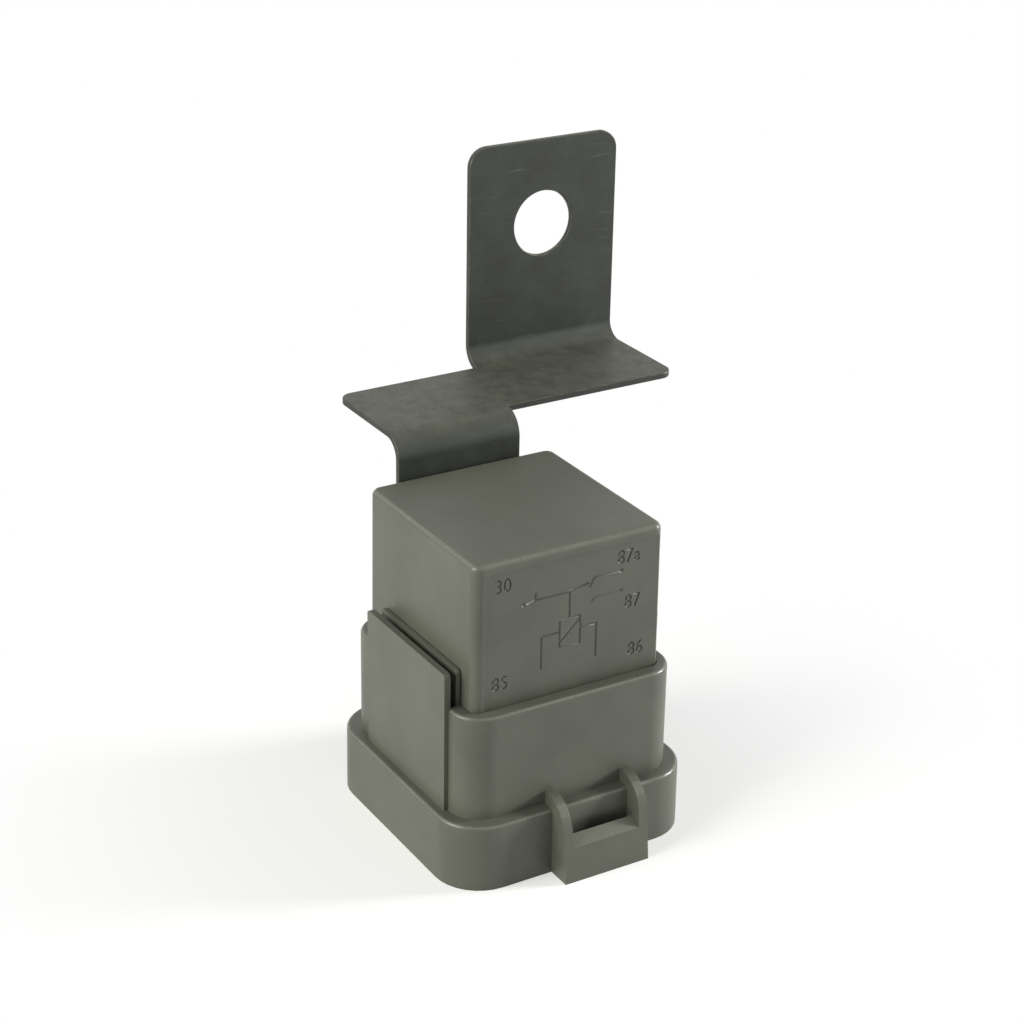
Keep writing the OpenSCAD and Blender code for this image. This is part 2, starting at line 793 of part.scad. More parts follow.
module armature() {
    length = armature_back - armature_front;
    color("#a2a4a4") released() difference() {
        translate([0, 0, armature_z]) linear_extrude(armature_t) {
            translate([0, (armature_front + armature_back) / 2])
                round_rect(armature_half, length / 2, armature_corner_r);
            translate([-tail_half, armature_back - past])
                square([2 * tail_half, tail_y - armature_back + past]);
            translate([0, (armature_back - past + tail_back) / 2])
                round_rect(tail_half, (tail_back - armature_back + past) / 2, tail_corner_r);
        }
        for (y = rivet_y)
            translate([0, y, armature_z - past])
                cylinder(r = rivet_r + blade_play, h = armature_t + 2 * past, $fn = 32);
        translate([0, tail_y, armature_z - past])
            cylinder(r = hook_hole_r, h = armature_t + 2 * past, $fn = 24);
    }
}

module contact_blade() {
    tip = contact_y - tongue_over;
    color("#c08a4a") released() difference() {
        translate([0, 0, armature_top]) linear_extrude(contact_blade_t) {
            translate([0, (pad_front + pad_back) / 2])
                round_rect(pad_half, (pad_back - pad_front) / 2, pad_r);
            translate([0, (tip + coil_y) / 2])
                round_rect(tongue_half, (coil_y - tip) / 2, tongue_r);
        }
        for (y = rivet_y)
            translate([0, y, armature_top - past])
                cylinder(r = rivet_r + blade_play, h = contact_blade_t + 2 * past, $fn = 32);
        translate([0, contact_y, armature_top - past])
            cylinder(r = contact_neck_r + blade_play, h = contact_blade_t + 2 * past, $fn = 32);
    }
}

module blade_rivets() {
    color("#b4b2a6") released()
        for (y = rivet_y) translate([0, y, 0]) {
            translate([0, 0, armature_z + rivet_sink])
                cylinder(r = rivet_r, h = blade_top - armature_z - rivet_sink + eps, $fn = 32);
            translate([0, 0, blade_top])
                cylinder(r1 = rivet_head_r, r2 = rivet_head_r - rivet_head_step,
                         h = rivet_head_t, $fn = 32);
        }
}

// A contact head on its flat side, with a low crown
module contact_head() {
    cylinder(r = contact_r, h = contact_t, $fn = 48);
    translate([0, 0, contact_t - eps])
        cylinder(r1 = contact_r - dome_foot_step, r2 = contact_r - dome_top_step,
                 h = contact_dome + eps, $fn = 48);
}

module moving_contact() {
    color("#d8d8d6") released() translate([0, contact_y, 0]) {
        translate([0, 0, armature_top - eps])
            cylinder(r = contact_neck_r, h = contact_blade_t + 2 * eps, $fn = 32);
        translate([0, 0, blade_top]) contact_head();
        translate([0, 0, armature_top]) mirror([0, 0, 1]) contact_head();
    }
}

module fixed_contact_no() {
    color("#d8d8d6") translate([0, contact_y, 0]) {
        translate([0, 0, no_ledge_top - blade_t])
            cylinder(r = contact_neck_r, h = blade_t + eps, $fn = 32);
        translate([0, 0, no_ledge_top])
            cylinder(r = contact_r, h = no_top - no_ledge_top, $fn = 48);
    }
}

module fixed_contact_nc() {
    color("#d8d8d6") translate([0, contact_y, 0]) {
        translate([0, 0, nc_arm_z - eps])
            cylinder(r = contact_neck_r, h = blade_t + eps, $fn = 32);
        translate([0, 0, nc_bottom])
            cylinder(r = contact_r, h = contact_t, $fn = 48);
    }
}

// ---- Swept wires ----

function unit(v) = v / norm(v);

// Skins a closed tube of n sides and radius r along the points p. side_dir is any
// direction that the route never runs along.
module sweep(p, r, n, side_dir) {
    last = len(p) - 1;
    rings = [for (i = [0 : last])
        let (t = unit(p[min(i + 1, last)] - p[max(i - 1, 0)]),
             a = unit(cross(t, side_dir)),
             b = cross(t, a))
        [for (k = [0 : n - 1]) p[i] + r * (cos(360 * k / n) * a + sin(360 * k / n) * b)]];
    points = [for (ring = rings) for (q = ring) q];
    walls = [for (i = [0 : last - 1], k = [0 : n - 1])
        let (m = (k + 1) % n)
        [[i * n + k, (i + 1) * n + k, (i + 1) * n + m], [i * n + k, (i + 1) * n + m, i * n + m]]];
    faces = concat([for (w = walls) for (f = w) f],
                   [[for (k = [0 : n - 1]) k]],
                   [[for (k = [n - 1 : -1 : 0]) last * n + k]]);
    polyhedron(points, faces);
}

module return_spring() {
    steps = 14;
    tail_drop = (tail_y - hinge_y) * sin(armature_swing);
    tail_z = armature_z - tail_drop;
    body0 = lug_z + lug_t + spring_lead;
    body1 = tail_z - spring_head;
    total = spring_turns * steps;
    ramp = steps / 2;
    helix = [for (i = [0 : total])
        let (grow = min(1, i / ramp, (total - i) / ramp),
             r = spring_mean_r * max(grow, 0.02),
             a = 360 * i / steps)
        [r * cos(a), tail_y + r * sin(a), body0 + (body1 - body0) * i / total]];
    color("#8f9292")
        sweep(concat([[0, tail_y, lug_z - spring_hook_drop],
                      [0, tail_y, body0 - spring_wire_d / 2]], helix,
                     [[0, tail_y, body1 + spring_wire_d / 2],
                      [0, tail_y, tail_z + spring_lead]]),
              spring_wire_d / 2, 6, [1, 0.3, 0.02]);
}

module contact_braid() {
    back = yoke_back + braid_r + fit_gap / 2;
    middle = back + braid_bulge - braid_arch_half;
    land = blade_top + braid_r + braid_end_gap;
    land_angle = 180 - asin((land - hinge_z) / braid_arch_rise);
    arch = [for (a = [-20 : 20 : land_angle])
        [middle + braid_arch_half * cos(a), hinge_z + braid_arch_rise * sin(a)]];
    end_y = middle + braid_arch_half * cos(land_angle);
    route = concat([[back, hinge_z - braid_foot_drop],
                    [back, hinge_z - braid_foot_drop + braid_foot_l]], arch,
                   [[end_y - braid_end_l / 2, land], [end_y - braid_end_l, land]]);
    color("#b0703c")
        sweep([for (q = route) [braid_x, q[0], q[1]]], braid_r, 8, [1, 0, 0]);
}

module coil_resistor() {
    lead_r = resistor_lead_d / 2;
    reach = -post_half - resistor_y;
    color("#6f4a34") {
        translate([-resistor_l / 2, resistor_y, resistor_z]) rotate([0, 90, 0])
            cylinder(d = resistor_d, h = resistor_l, $fn = 48);
        translate([-blade_pitch, resistor_y, resistor_z]) rotate([0, 90, 0])
            cylinder(r = lead_r, h = 2 * blade_pitch, $fn = 24);
        for (side = [-1, 1])
            translate([side * blade_pitch, resistor_y, resistor_z]) {
                sphere(lead_r, $fn = 24);
                rotate([-90, 0, 0]) cylinder(r = lead_r, h = reach, $fn = 24);
            }
    }
}

cover();
skirt();
bracket();
header();
base_seal();
terminal_30();
terminal_85();
terminal_86();
terminal_87();
terminal_87a();
yoke();
core();
bobbin();
coil_winding();
armature();
contact_blade();
blade_rivets();
moving_contact();
fixed_contact_no();
fixed_contact_nc();
return_spring();
contact_braid();
coil_resistor();
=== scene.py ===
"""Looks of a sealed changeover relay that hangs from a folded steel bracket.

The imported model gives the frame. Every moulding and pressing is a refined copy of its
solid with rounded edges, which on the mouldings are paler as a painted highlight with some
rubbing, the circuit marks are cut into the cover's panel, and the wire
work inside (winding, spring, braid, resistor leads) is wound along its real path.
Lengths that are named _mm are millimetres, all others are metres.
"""

from __future__ import annotations

import json
import logging
import math
from dataclasses import dataclass, field
from enum import Enum
from typing import Callable, Iterable

import bmesh
import bpy
from mathutils import Matrix, Vector

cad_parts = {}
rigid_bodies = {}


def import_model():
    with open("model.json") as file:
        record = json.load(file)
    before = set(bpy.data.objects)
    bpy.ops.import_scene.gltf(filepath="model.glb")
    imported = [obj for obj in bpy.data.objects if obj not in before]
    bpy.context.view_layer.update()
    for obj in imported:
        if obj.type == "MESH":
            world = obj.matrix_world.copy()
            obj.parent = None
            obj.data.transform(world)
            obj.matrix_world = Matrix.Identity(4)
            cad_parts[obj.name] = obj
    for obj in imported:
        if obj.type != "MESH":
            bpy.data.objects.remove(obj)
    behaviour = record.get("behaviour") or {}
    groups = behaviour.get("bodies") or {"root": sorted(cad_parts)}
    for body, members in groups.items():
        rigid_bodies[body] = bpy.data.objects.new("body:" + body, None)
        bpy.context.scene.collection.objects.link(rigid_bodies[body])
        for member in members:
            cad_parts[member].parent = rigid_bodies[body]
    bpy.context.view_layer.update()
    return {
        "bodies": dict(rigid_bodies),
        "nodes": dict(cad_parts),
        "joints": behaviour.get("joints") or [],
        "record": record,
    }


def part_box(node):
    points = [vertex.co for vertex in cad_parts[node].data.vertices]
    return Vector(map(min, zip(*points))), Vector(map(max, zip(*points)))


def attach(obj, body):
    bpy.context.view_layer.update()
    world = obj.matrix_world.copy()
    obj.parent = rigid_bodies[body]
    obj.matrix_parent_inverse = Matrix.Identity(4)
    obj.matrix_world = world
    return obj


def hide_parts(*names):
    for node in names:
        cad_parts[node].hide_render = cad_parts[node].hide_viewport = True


LOG = logging.getLogger("relay")
MM = 0.001
MARKED_SIDES = 250
MERGE_M = 2e-7
FLAT_DEGREES = 0.4
NOISE_RANGE = (0.3, 0.7)
WHITE = (1.0, 1.0, 1.0, 1.0)

Socket = bpy.types.NodeSocket
Tree = bpy.types.NodeTree
Thing = bpy.types.Object
Mesh = bpy.types.Mesh
Work = bmesh.types.BMesh
Point = tuple[float, float]
Triple = tuple[float, float, float]


class Body(Enum):
    """The two bodies that the pieces ride on."""

    RELAY = "relay"
    ARMATURE = "armature_set"


class Grain(Enum):
    """Direction in which a sheet was rolled, as the stretch of its streaks."""

    ALONG_Y = (1.0, 0.12, 1.0)
    ALONG_Z = (1.0, 1.0, 0.12)


# ---- Colour and nodes ----


def linear(code: str, alpha: float = 1.0) -> tuple[float, float, float, float]:
    """Turns an sRGB hex code into linear colour.

    Args:
        code: Six hex digits with a leading hash.
        alpha: Opacity of the colour.

    Returns:
        Linear red, green, blue and alpha.
    """
    parts = [int(code[i : i + 2], 16) / 255 for i in (1, 3, 5)]
    red, green, blue = (
        c / 12.92 if c <= 0.04045 else ((c + 0.055) / 1.055) ** 2.4 for c in parts
    )
    return red, green, blue, alpha


def add_node(tree: Tree, kind: str, inputs: dict | None = None, **settings: object) -> bpy.types.Node:
    """Adds one node with its settings and links.

    Args:
        tree: The tree that the node joins.
        kind: The node's type name.
        inputs: Socket name or index, with the value or the output that it takes.
        **settings: Properties of the node.

    Returns:
        The new node.
    """
    node = tree.nodes.new(kind)
    for name, value in settings.items():
        setattr(node, name, value)
    for key, value in (inputs or {}).items():
        socket = node.inputs[key]
        if isinstance(value, Socket):
            tree.links.new(value, socket)
        else:
            socket.default_value = value
    return node


def set_ramp(node: bpy.types.Node, stops: Iterable[tuple[float, tuple]]) -> Socket:
    """Gives a colour ramp its stops.

    Args:
        node: The ramp node.
        stops: Position and linear colour of each stop, in order.

    Returns:
        The ramp's colour output.
    """
    ramp = node.color_ramp
    for index, (position, colour) in enumerate(stops):
        stop = ramp.elements[index] if index < 2 else ramp.elements.new(position)
        stop.position, stop.color = position, colour
    return node.outputs["Color"]


def fresh_tree(made: bpy.types.ID) -> Tree:
    """Empties the node tree of a new material or world, and hands it over."""
    made.use_nodes = True
    made.node_tree.nodes.clear()
    return made.node_tree


def seen_by(tree: Tree, *rays: str) -> Socket:
    """Gives 1 to rays of the named kinds and 0 to all others."""
    path = add_node(tree, "ShaderNodeLightPath")
    seen = path.outputs[f"Is {rays[0]} Ray"]
    for ray in rays[1:]:
        either = {0: seen, 1: path.outputs[f"Is {ray} Ray"]}
        seen = add_node(tree, "ShaderNodeMath", either, operation="MAXIMUM").outputs[0]
    return seen


# ---- Finishes ----


@dataclass(frozen=True)
class Finish:
    """A surface finish: one base colour, cloudy tone, fine grain and gloss.

    Attributes:
        name: Common name of the material and how it was made.
        colours: Mean colour, and those of the paler and of the darker patches.
        roughness: Mean roughness.
        roughness_swing: How far roughness wanders from its mean.
        metallic: Share of metal in the shader.
        ior: Index of refraction, for what isn't metal.
        cloud_mm: Size of the tonal patches.
        grain_mm: Size of the surface grain.
        grain_depth_mm: Depth of the surface grain.
        stretch: Stretch of cloud and grain along each axis.
        coat: Weight of a clear coat.
    """

    name: str
    colours: tuple[str, str, str]
    roughness: float
    roughness_swing: float = 0.06
    metallic: float = 0.0
    ior: float = 1.5
    cloud_mm: float = 9.0
    grain_mm: float = 0.3
    grain_depth_mm: float = 0.006
    stretch: Triple = (1.0, 1.0, 1.0)
    coat: float = 0.0

    def material(self) -> bpy.types.Material:
        """Builds the material once, and hands the same one back after that."""
        found = bpy.data.materials.get(self.name)
        if found:
            return found
        made = bpy.data.materials.new(self.name)
        self.build(fresh_tree(made))
        return made

    def place(self, tree: Tree, size_mm: float) -> Socket:
        """Object coordinates scaled so that one unit is one feature of size_mm."""
        where = add_node(tree, "ShaderNodeTexCoord").outputs["Object"]
        scale = [s / (size_mm * MM) for s in self.stretch]
        mapped = add_node(tree, "ShaderNodeMapping", {"Vector": where, "Scale": scale})
        return mapped.outputs["Vector"]

    def tone(self, tree: Tree) -> Socket:
        """Cloudy tone between the finish's dark, mean and pale colours."""
        where = self.place(tree, self.cloud_mm)
        fractal = {"Vector": where, "Scale": 1.0, "Detail": 4.0, "Roughness": 0.55}
        cloud = add_node(tree, "ShaderNodeTexNoise", fractal).outputs["Fac"]
        ramp = add_node(tree, "ShaderNodeValToRGB", {"Fac": cloud})
        low, high = NOISE_RANGE
        base, pale, dark = self.colours
        stops = ((low, dark), (high, pale), ((low + high) / 2, base))
        return set_ramp(ramp, [(place, linear(code)) for place, code in stops])

    def build(self, tree: Tree) -> None:
        """Builds the node tree of the finish."""
        where = self.place(tree, self.grain_mm)
        fractal = {"Vector": where, "Scale": 1.0, "Detail": 3.0, "Roughness": 0.6}
        grain = add_node(tree, "ShaderNodeTexNoise", fractal).outputs["Fac"]
        swing = self.roughness_swing
        low, high = NOISE_RANGE
        span = {"Value": grain, "From Min": low, "From Max": high}
        span |= {"To Min": self.roughness - swing, "To Max": self.roughness + swing}
        rough = add_node(tree, "ShaderNodeMapRange", span).outputs["Result"]
        height = {"Height": grain, "Distance": self.grain_depth_mm * MM, "Strength": 1.0}
        bump = add_node(tree, "ShaderNodeBump", height)
        self.shade(tree, self.tone(tree), rough, bump.outputs["Normal"])

    def shade(self, tree: Tree, colour: Socket, rough: Socket, normal: Socket) -> None:
        """Ends the tree in the shader.

        Args:
            tree: The material's tree.
            colour: Base colour.
            rough: Roughness.
            normal: Bumped normal.
        """
        shader = add_node(
            tree,
            "ShaderNodeBsdfPrincipled",
            {
                "Base Color": colour,
                "Roughness": rough,
                "Normal": normal,
                "Metallic": self.metallic,
                "IOR": self.ior,
                "Coat Weight": self.coat,
            },
        )
        add_node(tree, "ShaderNodeOutputMaterial", {"Surface": shader.outputs["BSDF"]})


@dataclass(frozen=True)
class ScuffedFinish(Finish):
    """A finish with fine scuffs, pin-prick specks, and upper faces painted paler as a painted top light
    in rubbing-like patches.

    Attributes:
        scuff_and_top_light_colour: Colour of the scuffs and specks where the surface is worn, and of the
            painted top light.
        scuff_mm: Length of one scuffed streak.
        scuff_share: Share of the surface that the scuffs take.
        scuff_noise: Noise where a streak starts, for no share at all, and where it is full.
        scuff_most: How strongly a full streak shows, as 0 to 1.
        scuff_slim: How many times longer than wide a streak is.
        scuff_turn: Turn of the scuffs about each axis, in radians.
        speck_mm: Spacing of the specks.
        speck_reach: Distance from a speck's middle where it ends and where it is full.
        speck_most: How strongly a speck's middle shows, as 0 to 1.
        top_light_and_rubbing_level: How strongly faces that look up are painted pale, as 0 to 1: a
            painted top light, patchy like rubbing.
        top_light_and_rubbing_mm: Size of the patches of the painted top light.
        light_and_rubbing_slopes: Upward slopes (Z of the normal) where the painted top light starts and
            is full.
        top_light_and_rubbing_noise: Noise where a patch of the painted top light starts and is full.
        top_light_and_rubbing_least: Share of the painted top light that is left between the patches.
    """

    scuff_and_top_light_colour: str = "#7a7a70"
    scuff_mm: float = 6.0
    scuff_share: float = 0.03
    scuff_noise: Point = (0.66, 0.78)
    scuff_most: float = 0.5
    scuff_slim: float = 14.0
    scuff_turn: Triple = (0.4, 0.7, 0.5)
    speck_mm: float = 0.9
    speck_reach: Point = (0.1, 0.04)
    speck_most: float = 0.45
    # Upward faces painted pale: a painted top light, patchy like rubbing.
    top_light_and_rubbing_level: float = 0.0
    top_light_and_rubbing_mm: float = 2.6
    light_and_rubbing_slopes: Point = (0.5, 0.95)
    top_light_and_rubbing_noise: Point = (0.36, 0.64)
    top_light_and_rubbing_least: float = 0.45

    def top_light_and_rubbing(self, tree: Tree) -> Socket:
        """How pale each point is painted on faces that look up: a painted top light, in patches like
        rubbing.
        """
        facing = add_node(tree, "ShaderNodeNewGeometry").outputs["Normal"]
        upward = add_node(tree, "ShaderNodeSeparateXYZ", {0: facing}).outputs["Z"]
        where = self.place(tree, self.top_light_and_rubbing_mm)
        fractal = {"Vector": where, "Scale": 1.0, "Detail": 6.0, "Roughness": 0.7}
        patch = add_node(tree, "ShaderNodeTexNoise", fractal).outputs["Fac"]
        share, spread = (
            add_node(
                tree,
                "ShaderNodeMapRange",
                {"Value": value, "From Min": start, "From Max": full, "To Min": low, "To Max": high},
            ).outputs["Result"]
            for value, (start, full), (low, high) in (
                (upward, self.light_and_rubbing_slopes, (0.0, self.top_light_and_rubbing_level)),
                (patch, self.top_light_and_rubbing_noise, (self.top_light_and_rubbing_least, 1.0)),
            )
        )
        both = {0: share, 1: spread}
        return add_node(tree, "ShaderNodeMath", both, operation="MULTIPLY").outputs[0]

    def scuffs(self, tree: Tree) -> Socket:
        """How far each point is scuffed: long thin streaks, turned off the axes."""
        where = add_node(tree, "ShaderNodeTexCoord").outputs["Object"]
        along = 1 / (self.scuff_mm * MM)
        thin = self.scuff_slim / (self.scuff_mm * MM)
        inputs = {"Vector": where, "Rotation": self.scuff_turn, "Scale": (along, thin, thin)}
        turned = add_node(tree, "ShaderNodeMapping", inputs)
        fractal = {"Vector": turned.outputs["Vector"], "Scale": 1.0, "Detail": 5.0, "Roughness": 0.7}
        streak = add_node(tree, "ShaderNodeTexNoise", fractal).outputs["Fac"]
        start, full = self.scuff_noise
        span = {"Value": streak, "From Min": start - self.scuff_share, "From Max": full}
        span |= {"To Min": 0.0, "To Max": self.scuff_most}
        return add_node(tree, "ShaderNodeMapRange", span).outputs["Result"]

    def specks(self, tree: Tree) -> Socket:
        """How far each point lies in a speck."""
        where = self.place(tree, self.speck_mm)
        dots = add_node(tree, "ShaderNodeTexVoronoi", {"Vector": where, "Scale": 1.0})
        end, full = self.speck_reach
        span = {"Value": dots.outputs["Distance"], "From Min": end, "From Max": full}
        span |= {"To Min": 0.0, "To Max": self.speck_most}
        return add_node(tree, "ShaderNodeMapRange", span).outputs["Result"]

    def tone(self, tree: Tree) -> Socket:
        """Cloudy tone with the scuffs, specks and painted top light mixed over it."""
        under = Finish.tone(self, tree)
        scuffs_and_top_light = self.scuffs(tree)
        # Mixes the painted top light of upward faces in with the scuffs and specks.
        for more in (self.specks, self.top_light_and_rubbing):
            either = {0: scuffs_and_top_light, 1: more(tree)}
            scuffs_and_top_light = add_node(tree, "ShaderNodeMath", either, operation="MAXIMUM").outputs[0]
        colours = {"Fac": scuffs_and_top_light, "Color1": under, "Color2": linear(self.scuff_and_top_light_colour)}
        return add_node(tree, "ShaderNodeMixRGB", colours).outputs[0]


# Glass-filled nylon, injection moulded in dark olive grey: satin, with a faint orange
# peel and glass ends that show as pale pin-pricks.
NYLON = ScuffedFinish(
    "nylon_glass_filled_moulded", ("#616358", "#66685d", "#5b5d53"),
    roughness=0.46, ior=1.53, cloud_mm=8.0, grain_mm=0.35, grain_depth_mm=0.008,
    scuff_and_top_light_colour="#74756b", scuff_mm=5.0, scuff_share=0.0, speck_mm=0.8,
)
# The same nylon on the moulded edges: smoother from handling, and paler as a painted highlight along the
# edges.
NYLON_EDGE_HIGHLIGHT_AND_RUBBING = Finish(
    "nylon_edge_painted_highlight_and_rubbing", ("#77786c", "#7d7e71", "#717267"), roughness=0.28,
    ior=1.53, cloud_mm=6.0, grain_mm=0.4, grain_depth_mm=0.003,
)
# Phosphated and oiled sheet steel: nearly black-green, mottled, with a dull metal sheen, and its upward
# faces painted paler as a painted top light in rubbing-like patches.
PHOSPHATE = ScuffedFinish(
    "steel_phosphated_sheet", ("#2d302a", "#363933", "#262823"),
    roughness=0.55, roughness_swing=0.09, metallic=0.12, ior=1.5, cloud_mm=5.0,
    grain_mm=0.28, grain_depth_mm=0.007, scuff_and_top_light_colour="#6c6e62", scuff_mm=7.0, scuff_share=0.05,
    speck_mm=0.7, top_light_and_rubbing_level=0.72,
)
# The phosphate worn thin on the sheet's cut and folded edges: greyer and shinier.
PHOSPHATE_WORN = Finish(
    "steel_phosphated_worn_edge", ("#4a4d46", "#5e6157", "#3a3d37"),
    roughness=0.42, metallic=0.4, cloud_mm=1.5, grain_mm=0.2, grain_depth_mm=0.004,
)
# Black polyamide header: plain matt moulding, finer than the cover.
HEADER_NYLON = Finish(
    "nylon_black_header", ("#2d2f2e", "#333534", "#282a29"), roughness=0.52,
    ior=1.53, cloud_mm=5.0, grain_mm=0.25,
)
# Cast epoxy seal: black, glossy and slightly uneven where it flowed and set.
EPOXY = Finish(
    "epoxy_cast_seal", ("#1b1c1d", "#202122", "#171819"), roughness=0.2,
    roughness_swing=0.05, ior=1.55, cloud_mm=3.0, grain_mm=1.8, grain_depth_mm=0.03,
    coat=0.3,
)
# Tinned brass strip: pale warm silver with fine drawing lines along the blade.
TINNED_BRASS = Finish(
    "brass_tinned_strip", ("#b8b3a0", "#c6c2b2", "#a49e88"), roughness=0.3,
    roughness_swing=0.07, metallic=1.0, cloud_mm=3.0, grain_mm=0.22, grain_depth_mm=0.003,
    stretch=Grain.ALONG_Z.value,
)
# Nickel-plated soft iron: cool grey, blanked and tumbled, so it has a soft sheen.
NICKEL_IRON = Finish(
    "iron_nickel_plated", ("#9b9d9d", "#a9abab", "#8a8d8d"), roughness=0.34,
    roughness_swing=0.06, metallic=1.0, cloud_mm=4.0, grain_mm=0.3, grain_depth_mm=0.003,
)
# Polyester bobbin moulding, olive brown with a slight gloss.
BOBBIN_POLYESTER = Finish(
    "polyester_bobbin_moulded", ("#3d3a31", "#45423a", "#36332b"),
    roughness=0.42, ior=1.57, cloud_mm=4.0, grain_mm=0.25,
)
# Enamelled copper wire: orange brown under a clear varnish that gives it its gloss.
ENAMELLED_COPPER = Finish(
    "copper_wire_enamelled", ("#a65c29", "#b86d35", "#8e4a1f"), roughness=0.26,
    metallic=0.85, cloud_mm=1.5, grain_mm=0.4, grain_depth_mm=0.002, coat=0.6,
)
# Rolled phosphor bronze: warm, bright, with rolling lines along the blade.
BRONZE_STRIP = Finish(
    "phosphor_bronze_rolled", ("#b98348", "#c89458", "#a5723b"),
    roughness=0.28, metallic=1.0, cloud_mm=3.0, grain_mm=0.2, grain_depth_mm=0.002,
    stretch=Grain.ALONG_Y.value,
)
# Upset rivet heads of soft brass, dulled by the riveting tool.
RIVET_BRASS = Finish(
    "brass_riveted_head", ("#b0aa94", "#bdb8a5", "#9c957d"), roughness=0.38,
    metallic=1.0, cloud_mm=0.8, grain_mm=0.2,
)
# Silver contact alloy: nearly white metal, turned, with a light tarnish.
CONTACT_SILVER = Finish(
    "silver_alloy_contact", ("#d2d1cc", "#dedddA", "#bfbdb4"), roughness=0.22,
    metallic=1.0, cloud_mm=0.9, grain_mm=0.25, grain_depth_mm=0.002,
)
# Drawn spring wire, zinc flashed: even grey with a bright line along each turn.
SPRING_WIRE = Finish(
    "steel_spring_wire_drawn", ("#8d9090", "#9a9d9d", "#7b7f7f"),
    roughness=0.28, metallic=1.0, cloud_mm=1.0, grain_mm=0.15, grain_depth_mm=0.001,
)
# Bare braided copper strands, slightly oxidised, so they vary in colour.
BRAID_COPPER = Finish(
    "copper_braid_bare", ("#b06f3b", "#c5834c", "#8f552a"), roughness=0.36,
    metallic=1.0, cloud_mm=0.5, grain_mm=0.12, grain_depth_mm=0.002,
)
# Film resistor: tan lacquer over a ceramic rod, dipped, so it is smooth and rounded.
RESISTOR_LACQUER = Finish(
    "ceramic_resistor_lacquered", ("#9b8260", "#a58b68", "#8d7555"),
    roughness=0.32, ior=1.52, cloud_mm=1.5, grain_mm=0.2, grain_depth_mm=0.003, coat=0.2,
)


# The finish of each CAD node, for its hidden solid and for the piece that replaces it
FINISHES: dict[str, Finish] = {
    **dict.fromkeys(("cover", "skirt"), NYLON),
    **dict.fromkeys(("yoke", "core", "armature"), NICKEL_IRON),
    **dict.fromkeys(("moving_contact", "fixed_contact_no", "fixed_contact_nc"), CONTACT_SILVER),
    **{f"terminal_{number}": TINNED_BRASS for number in ("30", "85", "86", "87", "87a")},
    "bracket": PHOSPHATE,
    "header": HEADER_NYLON,
    "base_seal": EPOXY,
    "bobbin": BOBBIN_POLYESTER,
    "coil_winding": ENAMELLED_COPPER,
    "contact_blade": BRONZE_STRIP,
    "blade_rivets": RIVET_BRASS,
    "return_spring": SPRING_WIRE,
    "contact_braid": BRAID_COPPER,
    "coil_resistor": RESISTOR_LACQUER,
}


def band_finish(name: str, code: str) -> Finish:
    """A printed resistor band: the lacquer's gloss in another colour.

    Args:
        name: Colour name of the band.
        code: sRGB hex of the band.

    Returns:
        The finish of the band.
    """
    grain = {"cloud_mm": 1.0, "grain_mm": 0.2, "grain_depth_mm": 0.003}
    return Finish(f"resistor_band_{name}", (code, code, code), roughness=0.34, ior=1.52, **grain)


# ---- Meshes ----


def put_mesh(name: str, mesh: Mesh) -> Thing:
    """Links a mesh as an object at the origin, unturned and unscaled."""
    made = bpy.data.objects.new(name, mesh)
    bpy.context.scene.collection.objects.link(made)
    return made


def mesh_of(work: Work, name: str) -> Mesh:
    """Turns a built-up mesh into a plain one, and frees it."""
    mesh = bpy.data.meshes.new(name)
    work.to_mesh(mesh)
    work.free()
    return mesh


def bake_modifiers(made: Thing) -> None:
    """Turns the object's modifiers into its plain mesh and removes them."""
    graph = bpy.context.evaluated_depsgraph_get()
    flat = bpy.data.meshes.new_from_object(
        made.evaluated_get(graph), preserve_all_data_layers=True, depsgraph=graph
    )
    made.modifiers.clear()
    old, made.data = made.data, flat
    flat.name = made.name
    bpy.data.meshes.remove(old)


def smooth_below(mesh: Mesh, degrees: float) -> None:
    """Shades a mesh smooth, with edges sharper than the angle kept crisp.

    A flat face that marks are cut from meets nothing but their walls, so its whole
    outline is kept crisp as well.

    Args:
        mesh: The mesh.
        degrees: Angle from which an edge stays crisp.
    """
    mesh.polygons.foreach_set("use_smooth", [True] * len(mesh.polygons))
    mesh.set_sharp_from_angle(angle=math.radians(degrees))
    for face in mesh.polygons:
        if len(face.vertices) > MARKED_SIDES:
            for corner in face.loop_indices:
                mesh.edges[mesh.loops[corner].edge_index].use_edge_sharp = True


def settle_normals(made: Thing, degrees: float) -> None:
    """Keeps broad faces flat in the light and lets only their roundings turn.

    Args:
        made: The object.
        degrees: Angle from which an edge stays crisp.
    """
    smooth_below(made.data, degrees)
    weigh = made.modifiers.new("normals", "WEIGHTED_NORMAL")
    weigh.mode = "FACE_AREA"
    weigh.weight = 50
    weigh.keep_sharp = True
    bake_modifiers(made)


def merged_copy(node: Thing, name: str) -> Mesh:
    """Copies a CAD mesh with its loose triangles joined into flat faces.

    Args:
        node: The CAD node's object.
        name: Name of the new mesh.

    Returns:
        The merged mesh, in the same place.
    """
    mesh = node.data.copy()
    mesh.name = name
    work = bmesh.new()
    work.from_mesh(mesh)
    bmesh.ops.remove_doubles(work, verts=work.verts, dist=MERGE_M)
    limit = math.radians(FLAT_DEGREES)
    bmesh.ops.dissolve_limit(work, angle_limit=limit, verts=work.verts, edges=work.edges)
    work.to_mesh(mesh)
    work.free()
    mesh.materials.clear()
    return mesh


@dataclass
class Piece:
    """One finished piece and how it joins the frame.

    Attributes:
        made: The piece's object.
        body: The body that it rides on.
        slot: The record's material slot; not used.
        stands_for: CAD nodes that it replaces.
    """

    made: Thing
    body: Body
    slot: str
    stands_for: tuple[str, ...] = ()

    def join(self) -> Thing:
        """Rides the piece on its body and reports it."""
        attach(self.made, self.body.value)
        if self.stands_for:
            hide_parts(*self.stands_for)
        LOG.info("%s: %d faces", self.made.name, len(self.made.data.polygons))
        return self.made


